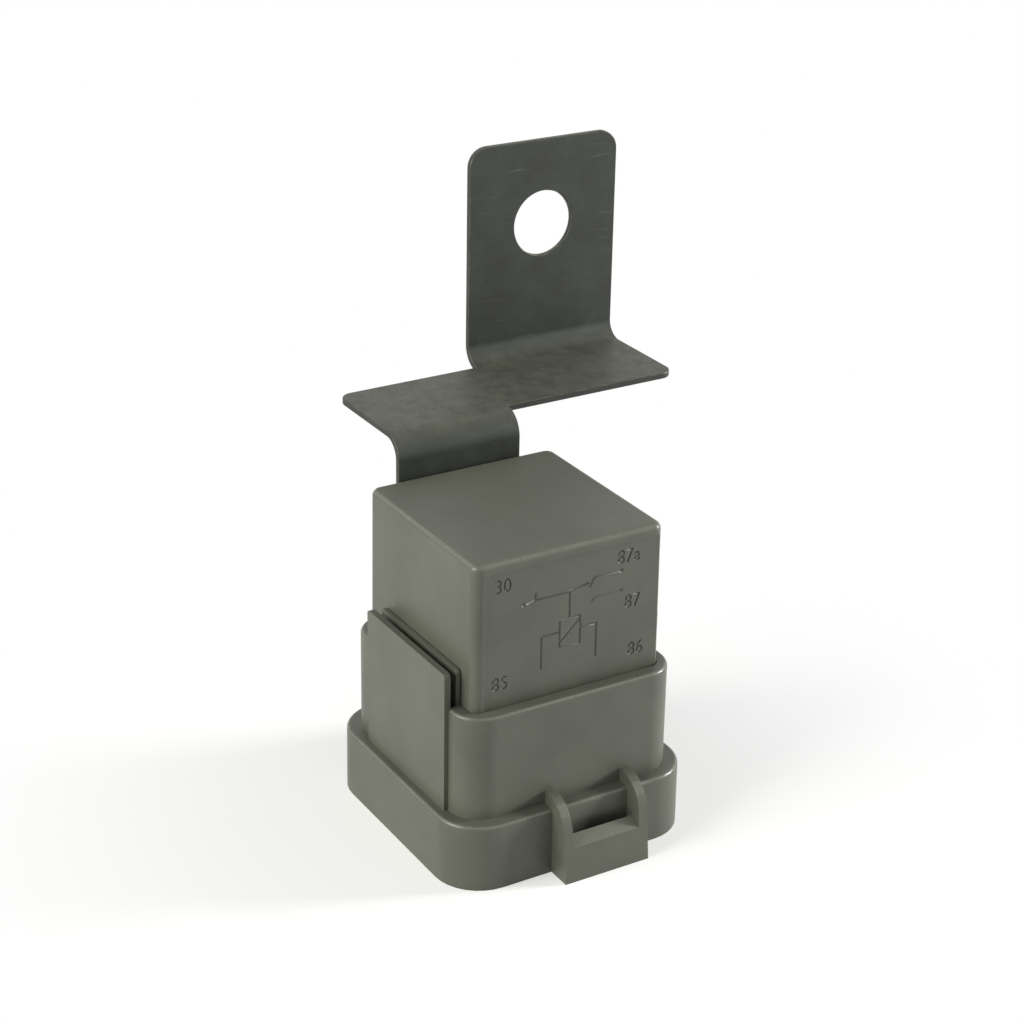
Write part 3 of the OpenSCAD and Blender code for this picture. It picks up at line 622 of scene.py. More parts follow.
@dataclass
class Pressing:
    """A refined copy of a CAD node, with its sharp edges rounded and given their own finish where one is
    named; on the mouldings that finish is a paler painted highlight with some rubbing.

    Attributes:
        node: Name of the CAD node.
        name: Name of the piece.
        slot: The record's material slot.
        edge: Finish of its rounded edges, or None for the same finish.
        edge_mm: Width of the rounding.
        steps: Segments of the rounding.
        sharp: Angle from which an edge is rounded, in degrees.
        body: The body that it rides on.
        light_and_rubbing_slopes: Range of upward slopes (Z of the normal) whose faces take the edge
            finish too, as a painted highlight on the upward roundings with some rubbing.
    """

    node: str
    name: str
    slot: str
    edge: Finish | None = None
    edge_mm: float = 0.1
    steps: int = 2
    sharp: float = 34.0
    body: Body = Body.RELAY
    light_and_rubbing_slopes: tuple[float, float] | None = None

    def make(self, frame: dict, cut: Callable[[Thing], None] | None = None) -> Thing:
        """Builds and joins the piece.

        Args:
            cut: Takes marks out of the piece once its edges are rounded.

        Returns:
            The finished piece.
        """
        made = put_mesh(self.name, merged_copy(frame["nodes"][self.node], self.name))
        finish = FINISHES[self.node]
        made.data.materials.append(finish.material())
        made.data.materials.append((self.edge or finish).material())
        rounding = made.modifiers.new("rounding", "BEVEL")
        rounding.width = self.edge_mm * MM
        rounding.segments = self.steps
        rounding.limit_method = "ANGLE"
        rounding.angle_limit = math.radians(self.sharp)
        rounding.miter_outer = "MITER_ARC"
        rounding.use_clamp_overlap = True
        rounding.material = 1
        bake_modifiers(made)
        # Upward roundings take the paler edge finish: a painted highlight, with some rubbing.
        if self.light_and_rubbing_slopes:
            low, high = self.light_and_rubbing_slopes
            for face in made.data.polygons:
                if low < face.normal.z < high:
                    face.material_index = 1
        if cut:
            cut(made)
        settle_normals(made, self.sharp)
        return Piece(made, self.body, self.slot, (self.node,)).join()


def press_all(
    frame: dict, rows: Iterable[tuple[str, str, str, float]], body: Body = Body.RELAY
) -> None:
    """Builds pressings whose edges have the finish of their faces.

    Args:
        rows: Node, name, slot and width of the rounding of each.
        body: The body that they ride on.
    """
    for node, name, slot, edge_mm in rows:
        Pressing(node, name, slot, edge_mm=edge_mm, body=body).make(frame)


# ---- Camera and studio ----


@dataclass
class Studio:
    """Camera, lamps, world and the pale floor.

    Attributes:
        eye_mm: Where the camera stands.
        aim: Direction that it looks in.
        roll: Roll of the camera, in degrees.
        lens: Focal length for a 36 mm sensor.
        floor_span: Side of the floor, in metres.
        fade_from: Distance from the origin where the floor starts to fade to white.
        fade_to: Distance where it is plain white.
        floor_bounce: Colour of the floor as it lights the object.
        floor_pale: Colour of the floor as the camera sees it.
        floor_lift: Light that the floor gives off where the camera sees it.
        world_level: Strength of the world's light.
        middle: What the lamps face.
    """

    eye_mm: Triple = (-141.4, -232.4, 167.9)
    aim: Triple = (0.47104, 0.77810, -0.41555)
    roll: float = 1.03
    lens: float = 81.48
    floor_span: float = 6.0
    fade_from: float = 0.02
    fade_to: float = 0.09
    floor_bounce: Triple = (0.55, 0.55, 0.54)
    floor_pale: Triple = (0.9, 0.9, 0.9)
    floor_lift: float = 0.4
    world_level: float = 0.2
    middle: Triple = (0.01, 0.0, 0.035)

    def camera(self) -> None:
        """Places the camera at the viewing angle of the object."""
        forward = Vector(self.aim).normalized()
        level = forward.cross(Vector((0, 0, 1))).normalized()
        up = level.cross(forward)
        turn = math.radians(self.roll)
        across = math.cos(turn) * level + math.sin(turn) * up
        upward = -math.sin(turn) * level + math.cos(turn) * up
        data = bpy.data.cameras.new("camera")
        data.lens = self.lens
        data.sensor_width = 36
        data.clip_start, data.clip_end = 0.01, 50
        eye = bpy.data.objects.new("camera", data)
        bpy.context.scene.collection.objects.link(eye)
        place = Matrix((across, upward, -forward)).transposed().to_4x4()
        place.translation = Vector(self.eye_mm) * MM
        eye.matrix_world = place
        bpy.context.scene.camera = eye

    def lamp(self, name: str, watts: float, side: float, place: tuple, tint: tuple) -> None:
        """Adds a square soft box that faces the middle of the object.

        Args:
            name: Name of the lamp.
            watts: Power.
            side: Side of the square, in metres.
            place: Where it stands.
            tint: Colour of its light.
        """
        data = bpy.data.lights.new(name, "AREA")
        data.energy, data.size, data.color = watts, side, tint
        made = bpy.data.objects.new(name, data)
        bpy.context.scene.collection.objects.link(made)
        way = Vector(self.middle) - Vector(place)
        made.matrix_world = way.to_track_quat("-Z", "Y").to_matrix().to_4x4()
        made.matrix_world.translation = Vector(place)

    def world(self) -> None:
        """Plain world light, which the camera and mirrors see as white."""
        made = bpy.data.worlds.new("studio_world")
        bpy.context.scene.world = made
        tree = fresh_tree(made)
        plain, white = (
            add_node(tree, "ShaderNodeBackground", {"Color": WHITE, "Strength": level}).outputs[0]
            for level in (self.world_level, 1.0)
        )
        seen = seen_by(tree, "Camera", "Transmission", "Glossy")
        mixed = add_node(tree, "ShaderNodeMixShader", {0: seen, 1: plain, 2: white}).outputs[0]
        add_node(tree, "ShaderNodeOutputWorld", {"Surface": mixed})

    def floor(self) -> None:
        """Lays a white floor that keeps the object's shadow."""
        work = bmesh.new()
        bmesh.ops.create_grid(work, x_segments=8, y_segments=8, size=self.floor_span / 2)
        mesh = mesh_of(work, "floor")
        mesh.materials.append(self.paper())
        put_mesh("floor", mesh)

    def paper(self) -> bpy.types.Material:
        """White studio paper: matt where the object stands, plain white further out."""
        made = bpy.data.materials.new("studio_paper_white")
        tree = fresh_tree(made)
        matt, pale = (
            add_node(tree, "ShaderNodeBsdfDiffuse", {"Color": (*tint, 1.0)}).outputs[0]
            for tint in (self.floor_bounce, self.floor_pale)
        )
        lift, far = (
            add_node(tree, "ShaderNodeEmission", {"Color": WHITE, "Strength": level}).outputs[0]
            for level in (self.floor_lift, 1.0)
        )
        near = add_node(tree, "ShaderNodeAddShader", {0: pale, 1: lift}).outputs[0]
        where = add_node(tree, "ShaderNodeTexCoord").outputs["Object"]
        spot = add_node(tree, "ShaderNodeVectorMath", {0: where}, operation="LENGTH").outputs["Value"]
        span = {"Value": spot, "From Min": self.fade_from, "From Max": self.fade_to}
        fade = add_node(tree, "ShaderNodeMapRange", span, interpolation_type="SMOOTHSTEP")
        blend = {0: fade.outputs["Result"], 1: near, 2: far}
        shown = add_node(tree, "ShaderNodeMixShader", blend).outputs[0]
        seen = seen_by(tree, "Camera", "Glossy")
        mixed = add_node(tree, "ShaderNodeMixShader", {0: seen, 1: matt, 2: shown}).outputs[0]
        add_node(tree, "ShaderNodeOutputMaterial", {"Surface": mixed})
        return made

    def build(self) -> None:
        """Builds camera, lamps, world and floor."""
        bpy.context.scene.view_settings.view_transform = "Standard"
        self.camera()
        self.world()
        self.floor()
        self.lamp("lamp_left", 5.4, 0.5, (-0.75, 0.0, 0.36), (1.0, 0.99, 0.91))
        self.lamp("lamp_right", 4.1, 0.14, (0.60, -0.23, 0.17), (0.98, 1.0, 0.97))
        LOG.info("studio ready")


# ---- Housing ----


@dataclass
class CircuitMarks:
    """The circuit and terminal numbers that are sunk into the front panel.

    Attributes:
        face_mm: Y of the panel's face.
        lean: Draft of the face: how far it comes forward for each mm downwards.
        top_mm: Height at which face_mm holds.
        depth_mm: Depth of the marks.
        stroke_mm: Width of the circuit's strokes.
        flare_mm: How far a mark's walls lean out from its mean width.
        proud_mm: How far the cutters stand in front of the panel.
        condense: Width of the numbers against their font.
        dot_sides: Sides of a terminal dot.
        strokes: Circuit strokes, as X and Z of their points.
        dots: Terminal dots, as X and Z.
        numbers: Terminal numbers, with X of the left edge, Z of the foot and height.
    """

    face_mm: float
    lean: float
    top_mm: float
    depth_mm: float = 0.14
    stroke_mm: float = 0.32
    flare_mm: float = 0.07
    proud_mm: float = 0.15
    condense: float = 0.92
    dot_sides: int = 20
    strokes: tuple[tuple[Point, ...], ...] = (
        ((-6.3, 37.6), (-5.1, 37.85), (-0.15, 37.85)),
        ((-5.0, 38.7), (-5.15, 37.85)),
        ((0.05, 37.95), (2.75, 38.35)),
        ((3.05, 37.75), (3.65, 38.95), (7.6, 38.95)),
        ((3.35, 35.55), (3.9, 36.15), (7.6, 36.15)),
        ((0.05, 37.9), (0.05, 34.35)),
        ((-1.35, 30.2), (-1.35, 34.1), (1.7, 34.1), (1.7, 30.2), (-1.35, 30.2)),
        ((-1.3, 30.9), (1.6, 33.7)),
        ((-1.35, 32.4), (-4.05, 32.4), (-4.05, 27.8)),
        ((1.7, 32.4), (4.15, 32.4), (4.15, 27.6)),
    )
    dots: tuple[Point, ...] = ((-6.75, 37.55), (7.8, 38.95), (7.8, 36.15))
    numbers: tuple[tuple[str, float, float, float], ...] = (
        ("30", -10.9, 40.0, 1.9),
        ("87a", 7.1, 39.95, 1.9),
        ("87", 8.4, 33.4, 1.9),
        ("85", -11.3, 26.4, 1.9),
        ("86", 9.1, 26.4, 1.9),
    )

    def at(self, x: float, z: float, out: float) -> Vector:
        """Point of the panel at X and Z, and out millimetres in front of it."""
        y = self.face_mm - (self.top_mm - z) * self.lean - out
        return Vector((x, y, z)) * MM

    def prism(self, work: Work, wide: list[Point], narrow: list[Point]) -> None:
        """Adds a cutter with flared walls, as a mould would leave them.

        Args:
            work: The mesh that the cutter joins.
            wide: Its outline in front of the panel.
            narrow: Its outline at the marks' depth.
        """
        front = [work.verts.new(self.at(x, z, self.proud_mm)) for x, z in wide]
        back = [work.verts.new(self.at(x, z, -self.depth_mm)) for x, z in narrow]
        work.faces.new(front)
        work.faces.new(back[::-1])
        for i in range(len(front)):
            j = (i + 1) % len(front)
            work.faces.new((front[j], front[i], back[i], back[j]))

    def bar(self, start: Point, end: Point, half: float) -> list[Point]:
        """Outline of one straight stroke, run on by half its width at each end."""
        way = Vector((end[0] - start[0], end[1] - start[1])).normalized() * half
        side = Vector((-way.y, way.x))
        return [
            (start[0] - way.x + side.x, start[1] - way.y + side.y),
            (start[0] - way.x - side.x, start[1] - way.y - side.y),
            (end[0] + way.x - side.x, end[1] + way.y - side.y),
            (end[0] + way.x + side.x, end[1] + way.y + side.y),
        ]

    def disc(self, middle: Point, radius: float) -> list[Point]:
        """Outline of a terminal dot."""
        turns = [math.tau * k / self.dot_sides for k in range(self.dot_sides)]
        return [(middle[0] + radius * math.cos(a), middle[1] + radius * math.sin(a)) for a in turns]

    def cutter(self) -> Thing:
        """Builds one cutter of all strokes, dots and numbers.

        Returns:
            The cutter, whose parts cross where strokes meet.
        """
        work = bmesh.new()
        wide, narrow = self.stroke_mm / 2 + self.flare_mm, self.stroke_mm / 2 - self.flare_mm
        for points in self.strokes:
            for start, end in zip(points, points[1:]):
                self.prism(work, self.bar(start, end, wide), self.bar(start, end, narrow))
        for middle in self.dots:
            self.prism(work, self.disc(middle, 2 * wide), self.disc(middle, 2 * narrow))
        for words, x, z, high in self.numbers:
            self.number(work, words, x, z, high)
        bmesh.ops.recalc_face_normals(work, faces=work.faces)
        return put_mesh("marks_cutter", mesh_of(work, "marks_cutter"))

    def number(self, work: Work, words: str, x: float, z: float, high: float) -> None:
        """Adds a terminal number to the cutter.

        Args:
            work: The mesh that the number joins.
            words: The digits.
            x: X of their left edge.
            z: Z of their foot.
            high: Height of a digit.
        """
        curve = bpy.data.curves.new("number", "FONT")
        curve.body = words
        curve.resolution_u = 3
        curve.extrude = 0.5
        text = bpy.data.objects.new("number", curve)
        bpy.context.scene.collection.objects.link(text)
        graph = bpy.context.evaluated_depsgraph_get()
        mesh = bpy.data.meshes.new_from_object(text.evaluated_get(graph), depsgraph=graph)
        bpy.data.objects.remove(text)
        scale = high / max(v.co.y for v in mesh.vertices)
        left = min(v.co.x for v in mesh.vertices)
        for v in mesh.vertices:
            across = x + (v.co.x - left) * scale * self.condense
            out = self.proud_mm if v.co.z > 0 else -self.depth_mm
            v.co = self.at(across, z + v.co.y * scale, out)
        digits = bmesh.new()
        digits.from_mesh(mesh)
        bmesh.ops.remove_doubles(digits, verts=digits.verts, dist=1e-6)
        digits.to_mesh(mesh)
        digits.free()
        work.from_mesh(mesh)
        bpy.data.meshes.remove(mesh)


@dataclass
class Housing:
    """Cover, skirt and the marks in the cover's panel.

    Attributes:
        panel_mm: Depth of the sunk panel.
        draft_mm: How much each side of the cover grows from top to foot.
        edge_highlight_and_rubbing_mm: Width of the rounded edges that carry the paler edge finish, a
            painted highlight with some rubbing.
        slopes: Upward slopes of the roundings that carry the same painted highlight, as Z of their
            normal.
    """

    panel_mm: float = 0.3
    draft_mm: float = 0.2
    edge_highlight_and_rubbing_mm: float = 0.2
    slopes: tuple[float, float] = (0.55, 0.85)

    def marks(self) -> CircuitMarks:
        """The marks, placed on the panel by the cover's own box."""
        low, high = (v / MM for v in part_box("cover"))
        rise = high.z - low.z
        return CircuitMarks(
            face_mm=low.y + self.draft_mm + self.panel_mm,
            lean=self.draft_mm / rise,
            top_mm=high.z,
        )

    def cut_marks(self, made: Thing) -> None:
        """Takes the marks out of the cover."""
        tool = self.marks().cutter()
        cut = made.modifiers.new("marks", "BOOLEAN")
        cut.operation = "DIFFERENCE"
        cut.solver = "EXACT"
        cut.use_self = True
        cut.object = tool
        bake_modifiers(made)
        bpy.data.meshes.remove(tool.data)

    def build(self, frame: dict) -> None:
        """Builds the cover with its marks, and the skirt."""
        for node, cut in (("cover", self.cut_marks), ("skirt", None)):
            Pressing(
                node,
                f"{node}_shell",
                f"{node}_plastic",
                # Paler finish on the rounded edges: a painted highlight, with some rubbing.
                NYLON_EDGE_HIGHLIGHT_AND_RUBBING,
                self.edge_highlight_and_rubbing_mm,
                light_and_rubbing_slopes=self.slopes,
            ).make(frame, cut)


@dataclass
class SteelBracket:
    """The folded sheet bracket.

    Attributes:
        edge_mm: Width of the worn edge.
    """

    edge_mm: float = 0.12

    def build(self, frame: dict) -> None:
        """Builds the bracket."""
        worn = {"edge": PHOSPHATE_WORN, "edge_mm": self.edge_mm}
        Pressing("bracket", "bracket_sheet", "bracket_steel", **worn).make(frame)


# ---- Wire work by geometry nodes ----


@dataclass
class NodeTool:
    """A geometry-node tree with named inputs.

    Attributes:
        name: Name of the tree.
        sizes: Input names with their values.
    """

    name: str
    sizes: dict[str, float] = field(default_factory=dict)

    def start(self) -> tuple[Tree, bpy.types.NodeOutputs, Socket]:
        """Starts the tree: its sockets, its inputs and the object's edges as a curve."""
        made = bpy.data.node_groups.new(self.name, "GeometryNodeTree")
        made.interface.new_socket("Geometry", in_out="INPUT", socket_type="NodeSocketGeometry")
        made.interface.new_socket("Geometry", in_out="OUTPUT", socket_type="NodeSocketGeometry")
        for name, value in self.sizes.items():
            kind = "NodeSocketInt" if isinstance(value, int) else "NodeSocketFloat"
            made.interface.new_socket(name, in_out="INPUT", socket_type=kind)
        given = add_node(made, "NodeGroupInput").outputs
        line = add_node(made, "GeometryNodeMeshToCurve", {0: given["Geometry"]}).outputs[0]
        return made, given, line

    def lay(
        self, tree: Tree, geometry: Socket, finish: Finish, name: str, points: list[Vector]
    ) -> Thing:
        """Ends the tree in Realize Instances and Set Material, and runs it on a path.

        Args:
            tree: The tree that start() gave.
            geometry: The mesh that it makes.
            finish: The finish that the mesh gets.
            name: Name of the piece.
            points: The path.

        Returns:
            The piece as a plain mesh.
        """
        real = add_node(tree, "GeometryNodeRealizeInstances", {"Geometry": geometry})
        soft = add_node(tree, "GeometryNodeSetShadeSmooth", {"Geometry": real.outputs[0]})
        dress = {"Geometry": soft.outputs[0], "Material": finish.material()}
        dressed = add_node(tree, "GeometryNodeSetMaterial", dress)
        add_node(tree, "NodeGroupOutput", {0: dressed.outputs[0]})
        path = bpy.data.meshes.new(name)
        path.from_pydata(points, [(i, i + 1) for i in range(len(points) - 1)], [])
        made = put_mesh(name, path)
        run = made.modifiers.new(self.name, "NODES")
        run.node_group = tree
        for socket in tree.interface.items_tree:
            if socket.item_type == "SOCKET" and socket.name in self.sizes:
                run[socket.identifier] = self.sizes[socket.name]
        bake_modifiers(made)
        return made


def tube(tree: Tree, line: Socket, sides: object, radius: object) -> Socket:
    """Sweeps a round section along curves and closes its ends."""
    circle = {"Resolution": sides, "Radius": radius}
    section = add_node(tree, "GeometryNodeCurvePrimitiveCircle", circle).outputs[0]
    swept = {"Curve": line, "Profile Curve": section, "Fill Caps": True}
    return add_node(tree, "GeometryNodeCurveToMesh", swept).outputs[0]


def wire(name: str, points: list[Vector], radius_mm: float, sides: int, finish: Finish) -> Thing:
    """Makes a round wire along a path.

    Args:
        name: Name of the piece.
        points: The path.
        radius_mm: Radius of the wire.
        sides: Sides of its section.
        finish: Finish of the wire.

    Returns:
        The wire as a closed mesh.
    """
    tool = NodeTool("wire_along_path", {"Radius": radius_mm * MM, "Sides": sides})
    tree, given, line = tool.start()
    return tool.lay(tree, tube(tree, line, given["Sides"], given["Radius"]), finish, name, points)


@dataclass
class Braid:
    """Strands round a path, half of them each way, over and under each other.

    Attributes:
        radius_mm: Outer radius of the braid.
        finish: Finish of the strands.
        strands: Number of strands, an even number.
        turns: Turns of each strand along the whole path.
        thick: Radius of a strand, as a share of the braid's.
        weave: How far a strand goes in and out, as a share of its radius.
        stops: Points along each strand.
        sides: Sides of a strand's section.
    """

    radius_mm: float
    finish: Finish
    strands: int = 12
    turns: float = 5.0
    thick: float = 0.2
    weave: float = 0.9
    stops: int = 160
    sides: int = 6

    def tool(self) -> NodeTool:
        """The tree's named inputs, with the lengths in metres."""
        strand_mm = self.radius_mm * self.thick
        return NodeTool(
            "braid_along_path",
            {
                "Lay Radius": (self.radius_mm - 2 * strand_mm) * MM,
                "Weave": strand_mm * self.weave * MM,
                "Strand Radius": strand_mm * MM,
                "Strands": self.strands,
                "Turns": self.turns,
            },
        )

    def offset(self, tree: Tree, given: bpy.types.NodeOutputs, index: Socket) -> Socket:
        """Where each point of a strand lies from the path's middle.

        Args:
            tree: The tree.
            given: The tree's inputs.
            index: Number of the strand.

        Returns:
            The offset across the path.
        """
        along = add_node(tree, "GeometryNodeSplineParameter").outputs["Factor"]
        tangent = add_node(tree, "GeometryNodeInputTangent").outputs[0]
        normal = add_node(tree, "GeometryNodeInputNormal").outputs[0]
        pair = {0: tangent, 1: normal}
        other = add_node(tree, "ShaderNodeVectorMath", pair, operation="CROSS_PRODUCT").outputs[0]
        found = {"index": index, "along": along, "strands": given["Strands"]}
        found |= {"turns": given["Turns"], "lay": given["Lay Radius"], "weave": given["Weave"]}
        for name, operation, first, second in (
            ("parity", "MODULO", "index", 2.0),
            ("double", "MULTIPLY", "parity", 2.0),
            ("way", "SUBTRACT", "double", 1.0),
            ("laps", "MULTIPLY", "turns", math.tau),
            ("sweep", "MULTIPLY", "along", "laps"),
            ("share", "DIVIDE", "index", "strands"),
            ("start", "MULTIPLY", "share", math.tau),
            ("wound", "MULTIPLY", "sweep", "way"),
            ("angle", "ADD", "wound", "start"),
            ("half", "DIVIDE", "strands", 2.0),
            ("beats", "MULTIPLY", "sweep", "half"),
            ("quarter", "MULTIPLY", "index", math.pi / 2),
            ("phase", "ADD", "beats", "quarter"),
            ("swing", "COSINE", "phase", 0.0),
            ("wave", "MULTIPLY", "swing", "way"),
            ("out", "MULTIPLY", "wave", "weave"),
            ("reach", "ADD", "lay", "out"),
            ("cosine", "COSINE", "angle", 0.0),
            ("across", "MULTIPLY", "cosine", "reach"),
            ("sine", "SINE", "angle", 0.0),
            ("upward", "MULTIPLY", "sine", "reach"),
        ):
            inputs = {0: found[first], 1: found.get(second, second)}
            found[name] = add_node(tree, "ShaderNodeMath", inputs, operation=operation).outputs[0]
        side, rise = (
            add_node(tree, "ShaderNodeVectorMath", inputs, operation="SCALE").outputs[0]
            for inputs in (
                {0: normal, "Scale": found["across"]},
                {0: other, "Scale": found["upward"]},
            )
        )
        return add_node(
            tree, "ShaderNodeVectorMath", {0: side, 1: rise}, operation="ADD"
        ).outputs[0]

    def make(self, name: str, points: list[Vector]) -> Thing:
        """Braids the strands along a path.

        Args:
            name: Name of the piece.
            points: The path of the braid's middle.

        Returns:
            The braid as a mesh.
        """
        tool = self.tool()
        tree, given, line = tool.start()
        even = add_node(tree, "GeometryNodeResampleCurve", {"Curve": line, "Count": self.stops})
        copies = add_node(
            tree,
            "GeometryNodeDuplicateElements",
            {"Geometry": even.outputs[0], "Amount": given["Strands"]},
            domain="SPLINE",
        ).outputs
        offset = self.offset(tree, given, copies["Duplicate Index"])
        laid = {"Geometry": copies[0], "Offset": offset}
        strands = add_node(tree, "GeometryNodeSetPosition", laid).outputs[0]
        round_ones = tube(tree, strands, self.sides, given["Strand Radius"])
        return tool.lay(tree, round_ones, self.finish, name, points)


def on_ring(middle: Point, radius: float, angle: float, z: float) -> Vector:
    """Point at a height z on a level ring round a middle, all in millimetres."""
    return Vector((middle[0] + radius * math.cos(angle), middle[1] + radius * math.sin(angle), z))


def join_into(main: Thing, others: list[Thing]) -> None:
    """Joins meshes into one object and keeps their materials."""
    bpy.ops.object.select_all(action="DESELECT")
    for part in (main, *others):
        part.select_set(True)
    bpy.context.view_layer.objects.active = main
    bpy.ops.object.join()


@dataclass
class Coil:
    """Bobbin, winding, core and yoke: the magnet system.

    Attributes:
        wire_mm: Diameter of the winding's wire. Real wire is about a third of this, and
            its turns would be too fine to show.
        steps: Points to a turn of the wire.
        sides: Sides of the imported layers.
        inner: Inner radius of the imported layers, as a share of the winding's.
        lead_mm: Height of the leads above the winding's foot.
    """

    wire_mm: float = 0.34
    steps: int = 48
    sides: int = 64
    inner: float = 0.62
    lead_mm: float = 1.0

    def winding(self) -> None:
        """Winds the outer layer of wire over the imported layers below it."""
        low, high = (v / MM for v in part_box("coil_winding"))
        middle = (0.0, (low.y + high.y) / 2)
        outer, radius = (high.y - low.y) / 2, self.wire_mm / 2
        lay = outer - radius
        turns = int((high.z - low.z) / self.wire_mm)
        pitch = (high.z - low.z - self.wire_mm) / turns
        points = [
            on_ring(middle, lay, math.tau * k / self.steps, low.z + radius + pitch * k / self.steps) * MM
            for k in range(turns * self.steps + 1)
        ]
        made = wire("coil_turns", points, radius, 6, ENAMELLED_COPPER)
        under = self.layers(middle, (outer * self.inner, lay), (low.z, high.z))
        foot = low.z + self.lead_mm
        leads = [
            wire(
                "coil_lead",
                [Vector((side * x, 0, foot)) * MM for x in (lay, high.x)],
                radius,
                8,
                ENAMELLED_COPPER,
            )
            for side in (-1, 1)
        ]
        join_into(made, [under, *leads])
        Piece(made, Body.RELAY, "copper_wire", ("coil_winding",)).join()

    def layers(self, middle: Point, radii: Point, heights: Point) -> Thing:
        """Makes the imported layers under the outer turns, as a tube.

        Args:
            middle: X and Y of its axis, in millimetres.
            radii: Inner and outer radius.
            heights: Z of its foot and top.

        Returns:
            The tube.
        """
        work = bmesh.new()
        (inner, outer), (z0, z1) = radii, heights
        rings = [
            [
                work.verts.new(on_ring(middle, radius, math.tau * k / self.sides, z) * MM)
                for k in range(self.sides)
            ]
            for radius, z in ((inner, z0), (outer, z0), (outer, z1), (inner, z1))
        ]
        for a, b in zip(rings, rings[1:] + rings[:1]):
            for k in range(self.sides):
                j = (k + 1) % self.sides
                work.faces.new((a[k], a[j], b[j], b[k]))
        bmesh.ops.recalc_face_normals(work, faces=work.faces)
        mesh = mesh_of(work, "coil_layers")
        mesh.materials.append(ENAMELLED_COPPER.material())
        smooth_below(mesh, 40)
        return put_mesh("coil_layers", mesh)

    def build(self, frame: dict) -> None:
        """Builds the magnet system."""
        self.winding()
        rows = (
            ("bobbin", "bobbin_moulding", "bobbin_plastic", 0.08),
            ("core", "core_turned", "magnet_iron", 0.1),
            ("yoke", "yoke_pressing", "magnet_iron", 0.1),
        )
        press_all(frame, rows)


@dataclass
class Base:
    """Header, cast seal and the five terminals.

    Attributes:
        blades: Numbers of the terminals.
    """

    blades: tuple[str, ...] = ("30", "85", "86", "87", "87a")

    def build(self, frame: dict) -> None:
        """Builds the base."""
        rows = (
            ("header", "header_moulding", "header_plastic", 0.08),
            ("base_seal", "seal_casting", "seal_resin", 0.05),
            *((f"terminal_{n}", f"blade_{n}", "terminal_metal", 0.09) for n in self.blades),
        )
        press_all(frame, rows)


@dataclass
class ArmatureSet:
    """What moves when the coil pulls in."""

    def build(self, frame: dict) -> None:
        """Builds the armature, its contact blade, rivets and contact."""
        rows = (
            ("armature", "armature_plate", "magnet_iron", 0.1),
            ("contact_blade", "blade_spring", "spring_bronze", 0.05),
            ("blade_rivets", "blade_rivet_heads", "rivet_metal", 0.09),
            ("moving_contact", "contact_moving", "contact_silver", 0.06),
        )
        press_all(frame, rows, Body.ARMATURE)


@dataclass
class Resistor:
    """The coil's resistor: banded body on tinned leads.

    Attributes:
        half_mm: Half the length of its body.
        band_mm: Width of a band.
        round_mm: Width of the body's rounded ends.
        bands: Colour name, sRGB hex and place along the body of each band.
    """

    half_mm: float = 3.75
    band_mm: float = 0.7
    round_mm: float = 0.1
    bands: tuple[tuple[str, str, float], ...] = (
        ("blue", "#2c4f86", -2.7),
        ("grey", "#777a7c", -1.3),
        ("brown", "#55321f", 0.1),
        ("gold", "#a8853c", 2.6),
    )

    def paint(self, made: Thing) -> None:
        """Splits the body at its bands and gives every face its finish.

        Args:
            made: The rounded resistor, with lacquer in its first slot and tin in its second.
        """
        borders = {place + side * self.band_mm / 2 for _, _, place in self.bands for side in (-1, 1)}
        for name, code, _ in self.bands:
            made.data.materials.append(band_finish(name, code).material())
        work = bmesh.new()
        work.from_mesh(made.data)
        for border in sorted(borders | {-self.half_mm, self.half_mm}):
            bmesh.ops.bisect_plane(
                work,
                geom=work.verts[:] + work.edges[:] + work.faces[:],
                dist=1e-7,
                plane_co=(border * MM, 0, 0),
                plane_no=(1, 0, 0),
            )
        for face in work.faces:
            along = face.calc_center_median().x / MM
            face.material_index = 1 if abs(along) > self.half_mm + 1e-3 else 0
            for index, (_, _, place) in enumerate(self.bands):
                if abs(along - place) < self.band_mm / 2:
                    face.material_index = 2 + index
        work.to_mesh(made.data)
        work.free()

    def build(self, frame: dict) -> None:
        """Builds the resistor."""
        tinned = {"edge": TINNED_BRASS, "edge_mm": self.round_mm}
        Pressing("coil_resistor", "resistor_body", "resistor_body", **tinned).make(frame, self.paint)


@dataclass
class ReturnSpring:
    """The tension spring behind the yoke, with a hook at each end.

    Attributes:
        turns: Turns of the spring.
        wire_mm: Radius of its wire.
        steps: Points to a turn.
        hooks_mm: Height of the lower and of the upper hook.
        neck_mm: How far a hook's wire runs in line with the axis beside the coil.
        least: Smallest radius of the end turns, as a share of the full one.
    """

    turns: int = 11
    wire_mm: float = 0.15
    steps: int = 20
    hooks_mm: Point = (1.9, 1.7)
    neck_mm: float = 0.2
    least: float = 0.02

    def build(self) -> None:
        """Winds the spring and bends its hooks."""
        low, high = (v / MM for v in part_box("return_spring"))
        middle = ((low.x + high.x) / 2, (low.y + high.y) / 2)
        radius = (high.y - low.y) / 2 - self.wire_mm
        foot, top = low.z + self.hooks_mm[0], high.z - self.hooks_mm[1]
        total, fade = self.turns * self.steps, self.steps / 2
        points = [Vector((*middle, z)) for z in (low.z, foot - self.neck_mm)]
        for k in range(total + 1):
            grow = max(self.least, min(1.0, k / fade, (total - k) / fade))
            height = foot + (top - foot) * k / total
            points.append(on_ring(middle, radius * grow, math.tau * k / self.steps, height))
        points += [Vector((*middle, z)) for z in (top + self.neck_mm, high.z)]
        made = wire("spring_wound", [p * MM for p in points], self.wire_mm, 12, SPRING_WIRE)
        Piece(made, Body.RELAY, "spring_steel", ("return_spring",)).join()


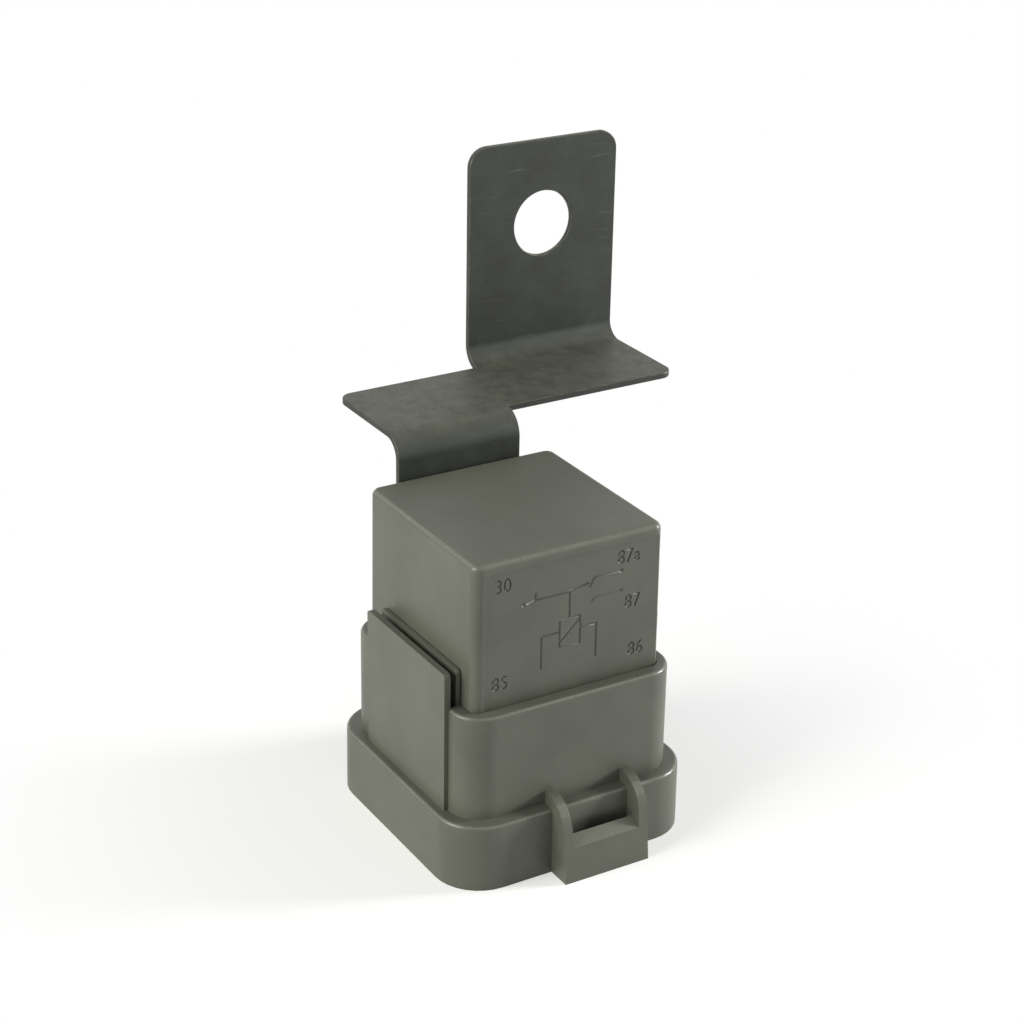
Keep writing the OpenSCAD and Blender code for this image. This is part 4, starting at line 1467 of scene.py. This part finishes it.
@dataclass
class FlexibleLead:
    """The braided lead from the yoke over to the contact blade.

    Attributes:
        hinge_mm: Height of the armature's hinge, which the lead bows over.
        half_mm: Half the bow's length.
        rise_mm: The bow's height over the hinge.
        inset_mm: How far the bow's foot stands in from its end.
        foot_mm: Length of the straight foot.
        land_mm: Height where the lead lies on the blade.
        run_mm: Length that lies on the blade before the bow.
        turn_from: Angle where the bow starts, in degrees.
        turn_step: Angle from one point of the bow to the next.
    """

    hinge_mm: float = 37.4
    half_mm: float = 3.8
    rise_mm: float = 3.5
    inset_mm: float = 1.05
    foot_mm: float = 3.0
    land_mm: float = 39.95
    run_mm: float = 0.7
    turn_from: int = -20
    turn_step: int = 10

    def build(self) -> None:
        """Braids the lead along its bow."""
        low, high = (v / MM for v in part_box("contact_braid"))
        radius, x = (high.x - low.x) / 2, (low.x + high.x) / 2
        middle = high.y - radius - self.half_mm
        back = middle + self.half_mm - self.inset_mm
        last = 180 - math.degrees(math.asin((self.land_mm - self.hinge_mm) / self.rise_mm))
        points = [Vector((x, back, low.z)), Vector((x, back, low.z + self.foot_mm))]
        for turn in range(self.turn_from, math.floor(last) + 1, self.turn_step):
            a = math.radians(turn)
            y, z = middle + self.half_mm * math.cos(a), self.hinge_mm + self.rise_mm * math.sin(a)
            points.append(Vector((x, y, z)))
        end_y = middle + self.half_mm * math.cos(math.radians(last))
        points += [Vector((x, y, self.land_mm)) for y in (end_y - self.run_mm, low.y)]
        made = Braid(radius, BRAID_COPPER).make("braid_woven", [p * MM for p in points])
        Piece(made, Body.RELAY, "braid_copper", ("contact_braid",)).join()


@dataclass
class Wiring:
    """Fixed contacts, spring and lead, with the resistor.

    Attributes:
        sides: The two fixed contacts, normally open and normally closed.
    """

    sides: tuple[str, str] = ("no", "nc")

    def build(self, frame: dict) -> None:
        """Builds the fixed contacts and the wire work."""
        rows = (
            (f"fixed_contact_{side}", f"contact_fixed_{side}", "contact_silver", 0.06)
            for side in self.sides
        )
        press_all(frame, rows)
        ReturnSpring().build()
        FlexibleLead().build()
        Resistor().build(frame)


def dress_hidden_nodes(frame: dict) -> None:
    """Gives each carried-over solid the finish of the piece that stands for it."""
    for name, node in frame["nodes"].items():
        node.data.materials.clear()
        node.data.materials.append(FINISHES[name].material())


def main() -> None:
    """Builds the relay around its frame."""
    logging.basicConfig(level=logging.INFO, format="%(message)s")
    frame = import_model()
    Studio().build()
    dress_hidden_nodes(frame)
    Housing().build(frame)
    SteelBracket().build(frame)
    Base().build(frame)
    Coil().build(frame)
    ArmatureSet().build(frame)
    Wiring().build(frame)
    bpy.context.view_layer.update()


if __name__ == "__main__":
    main()
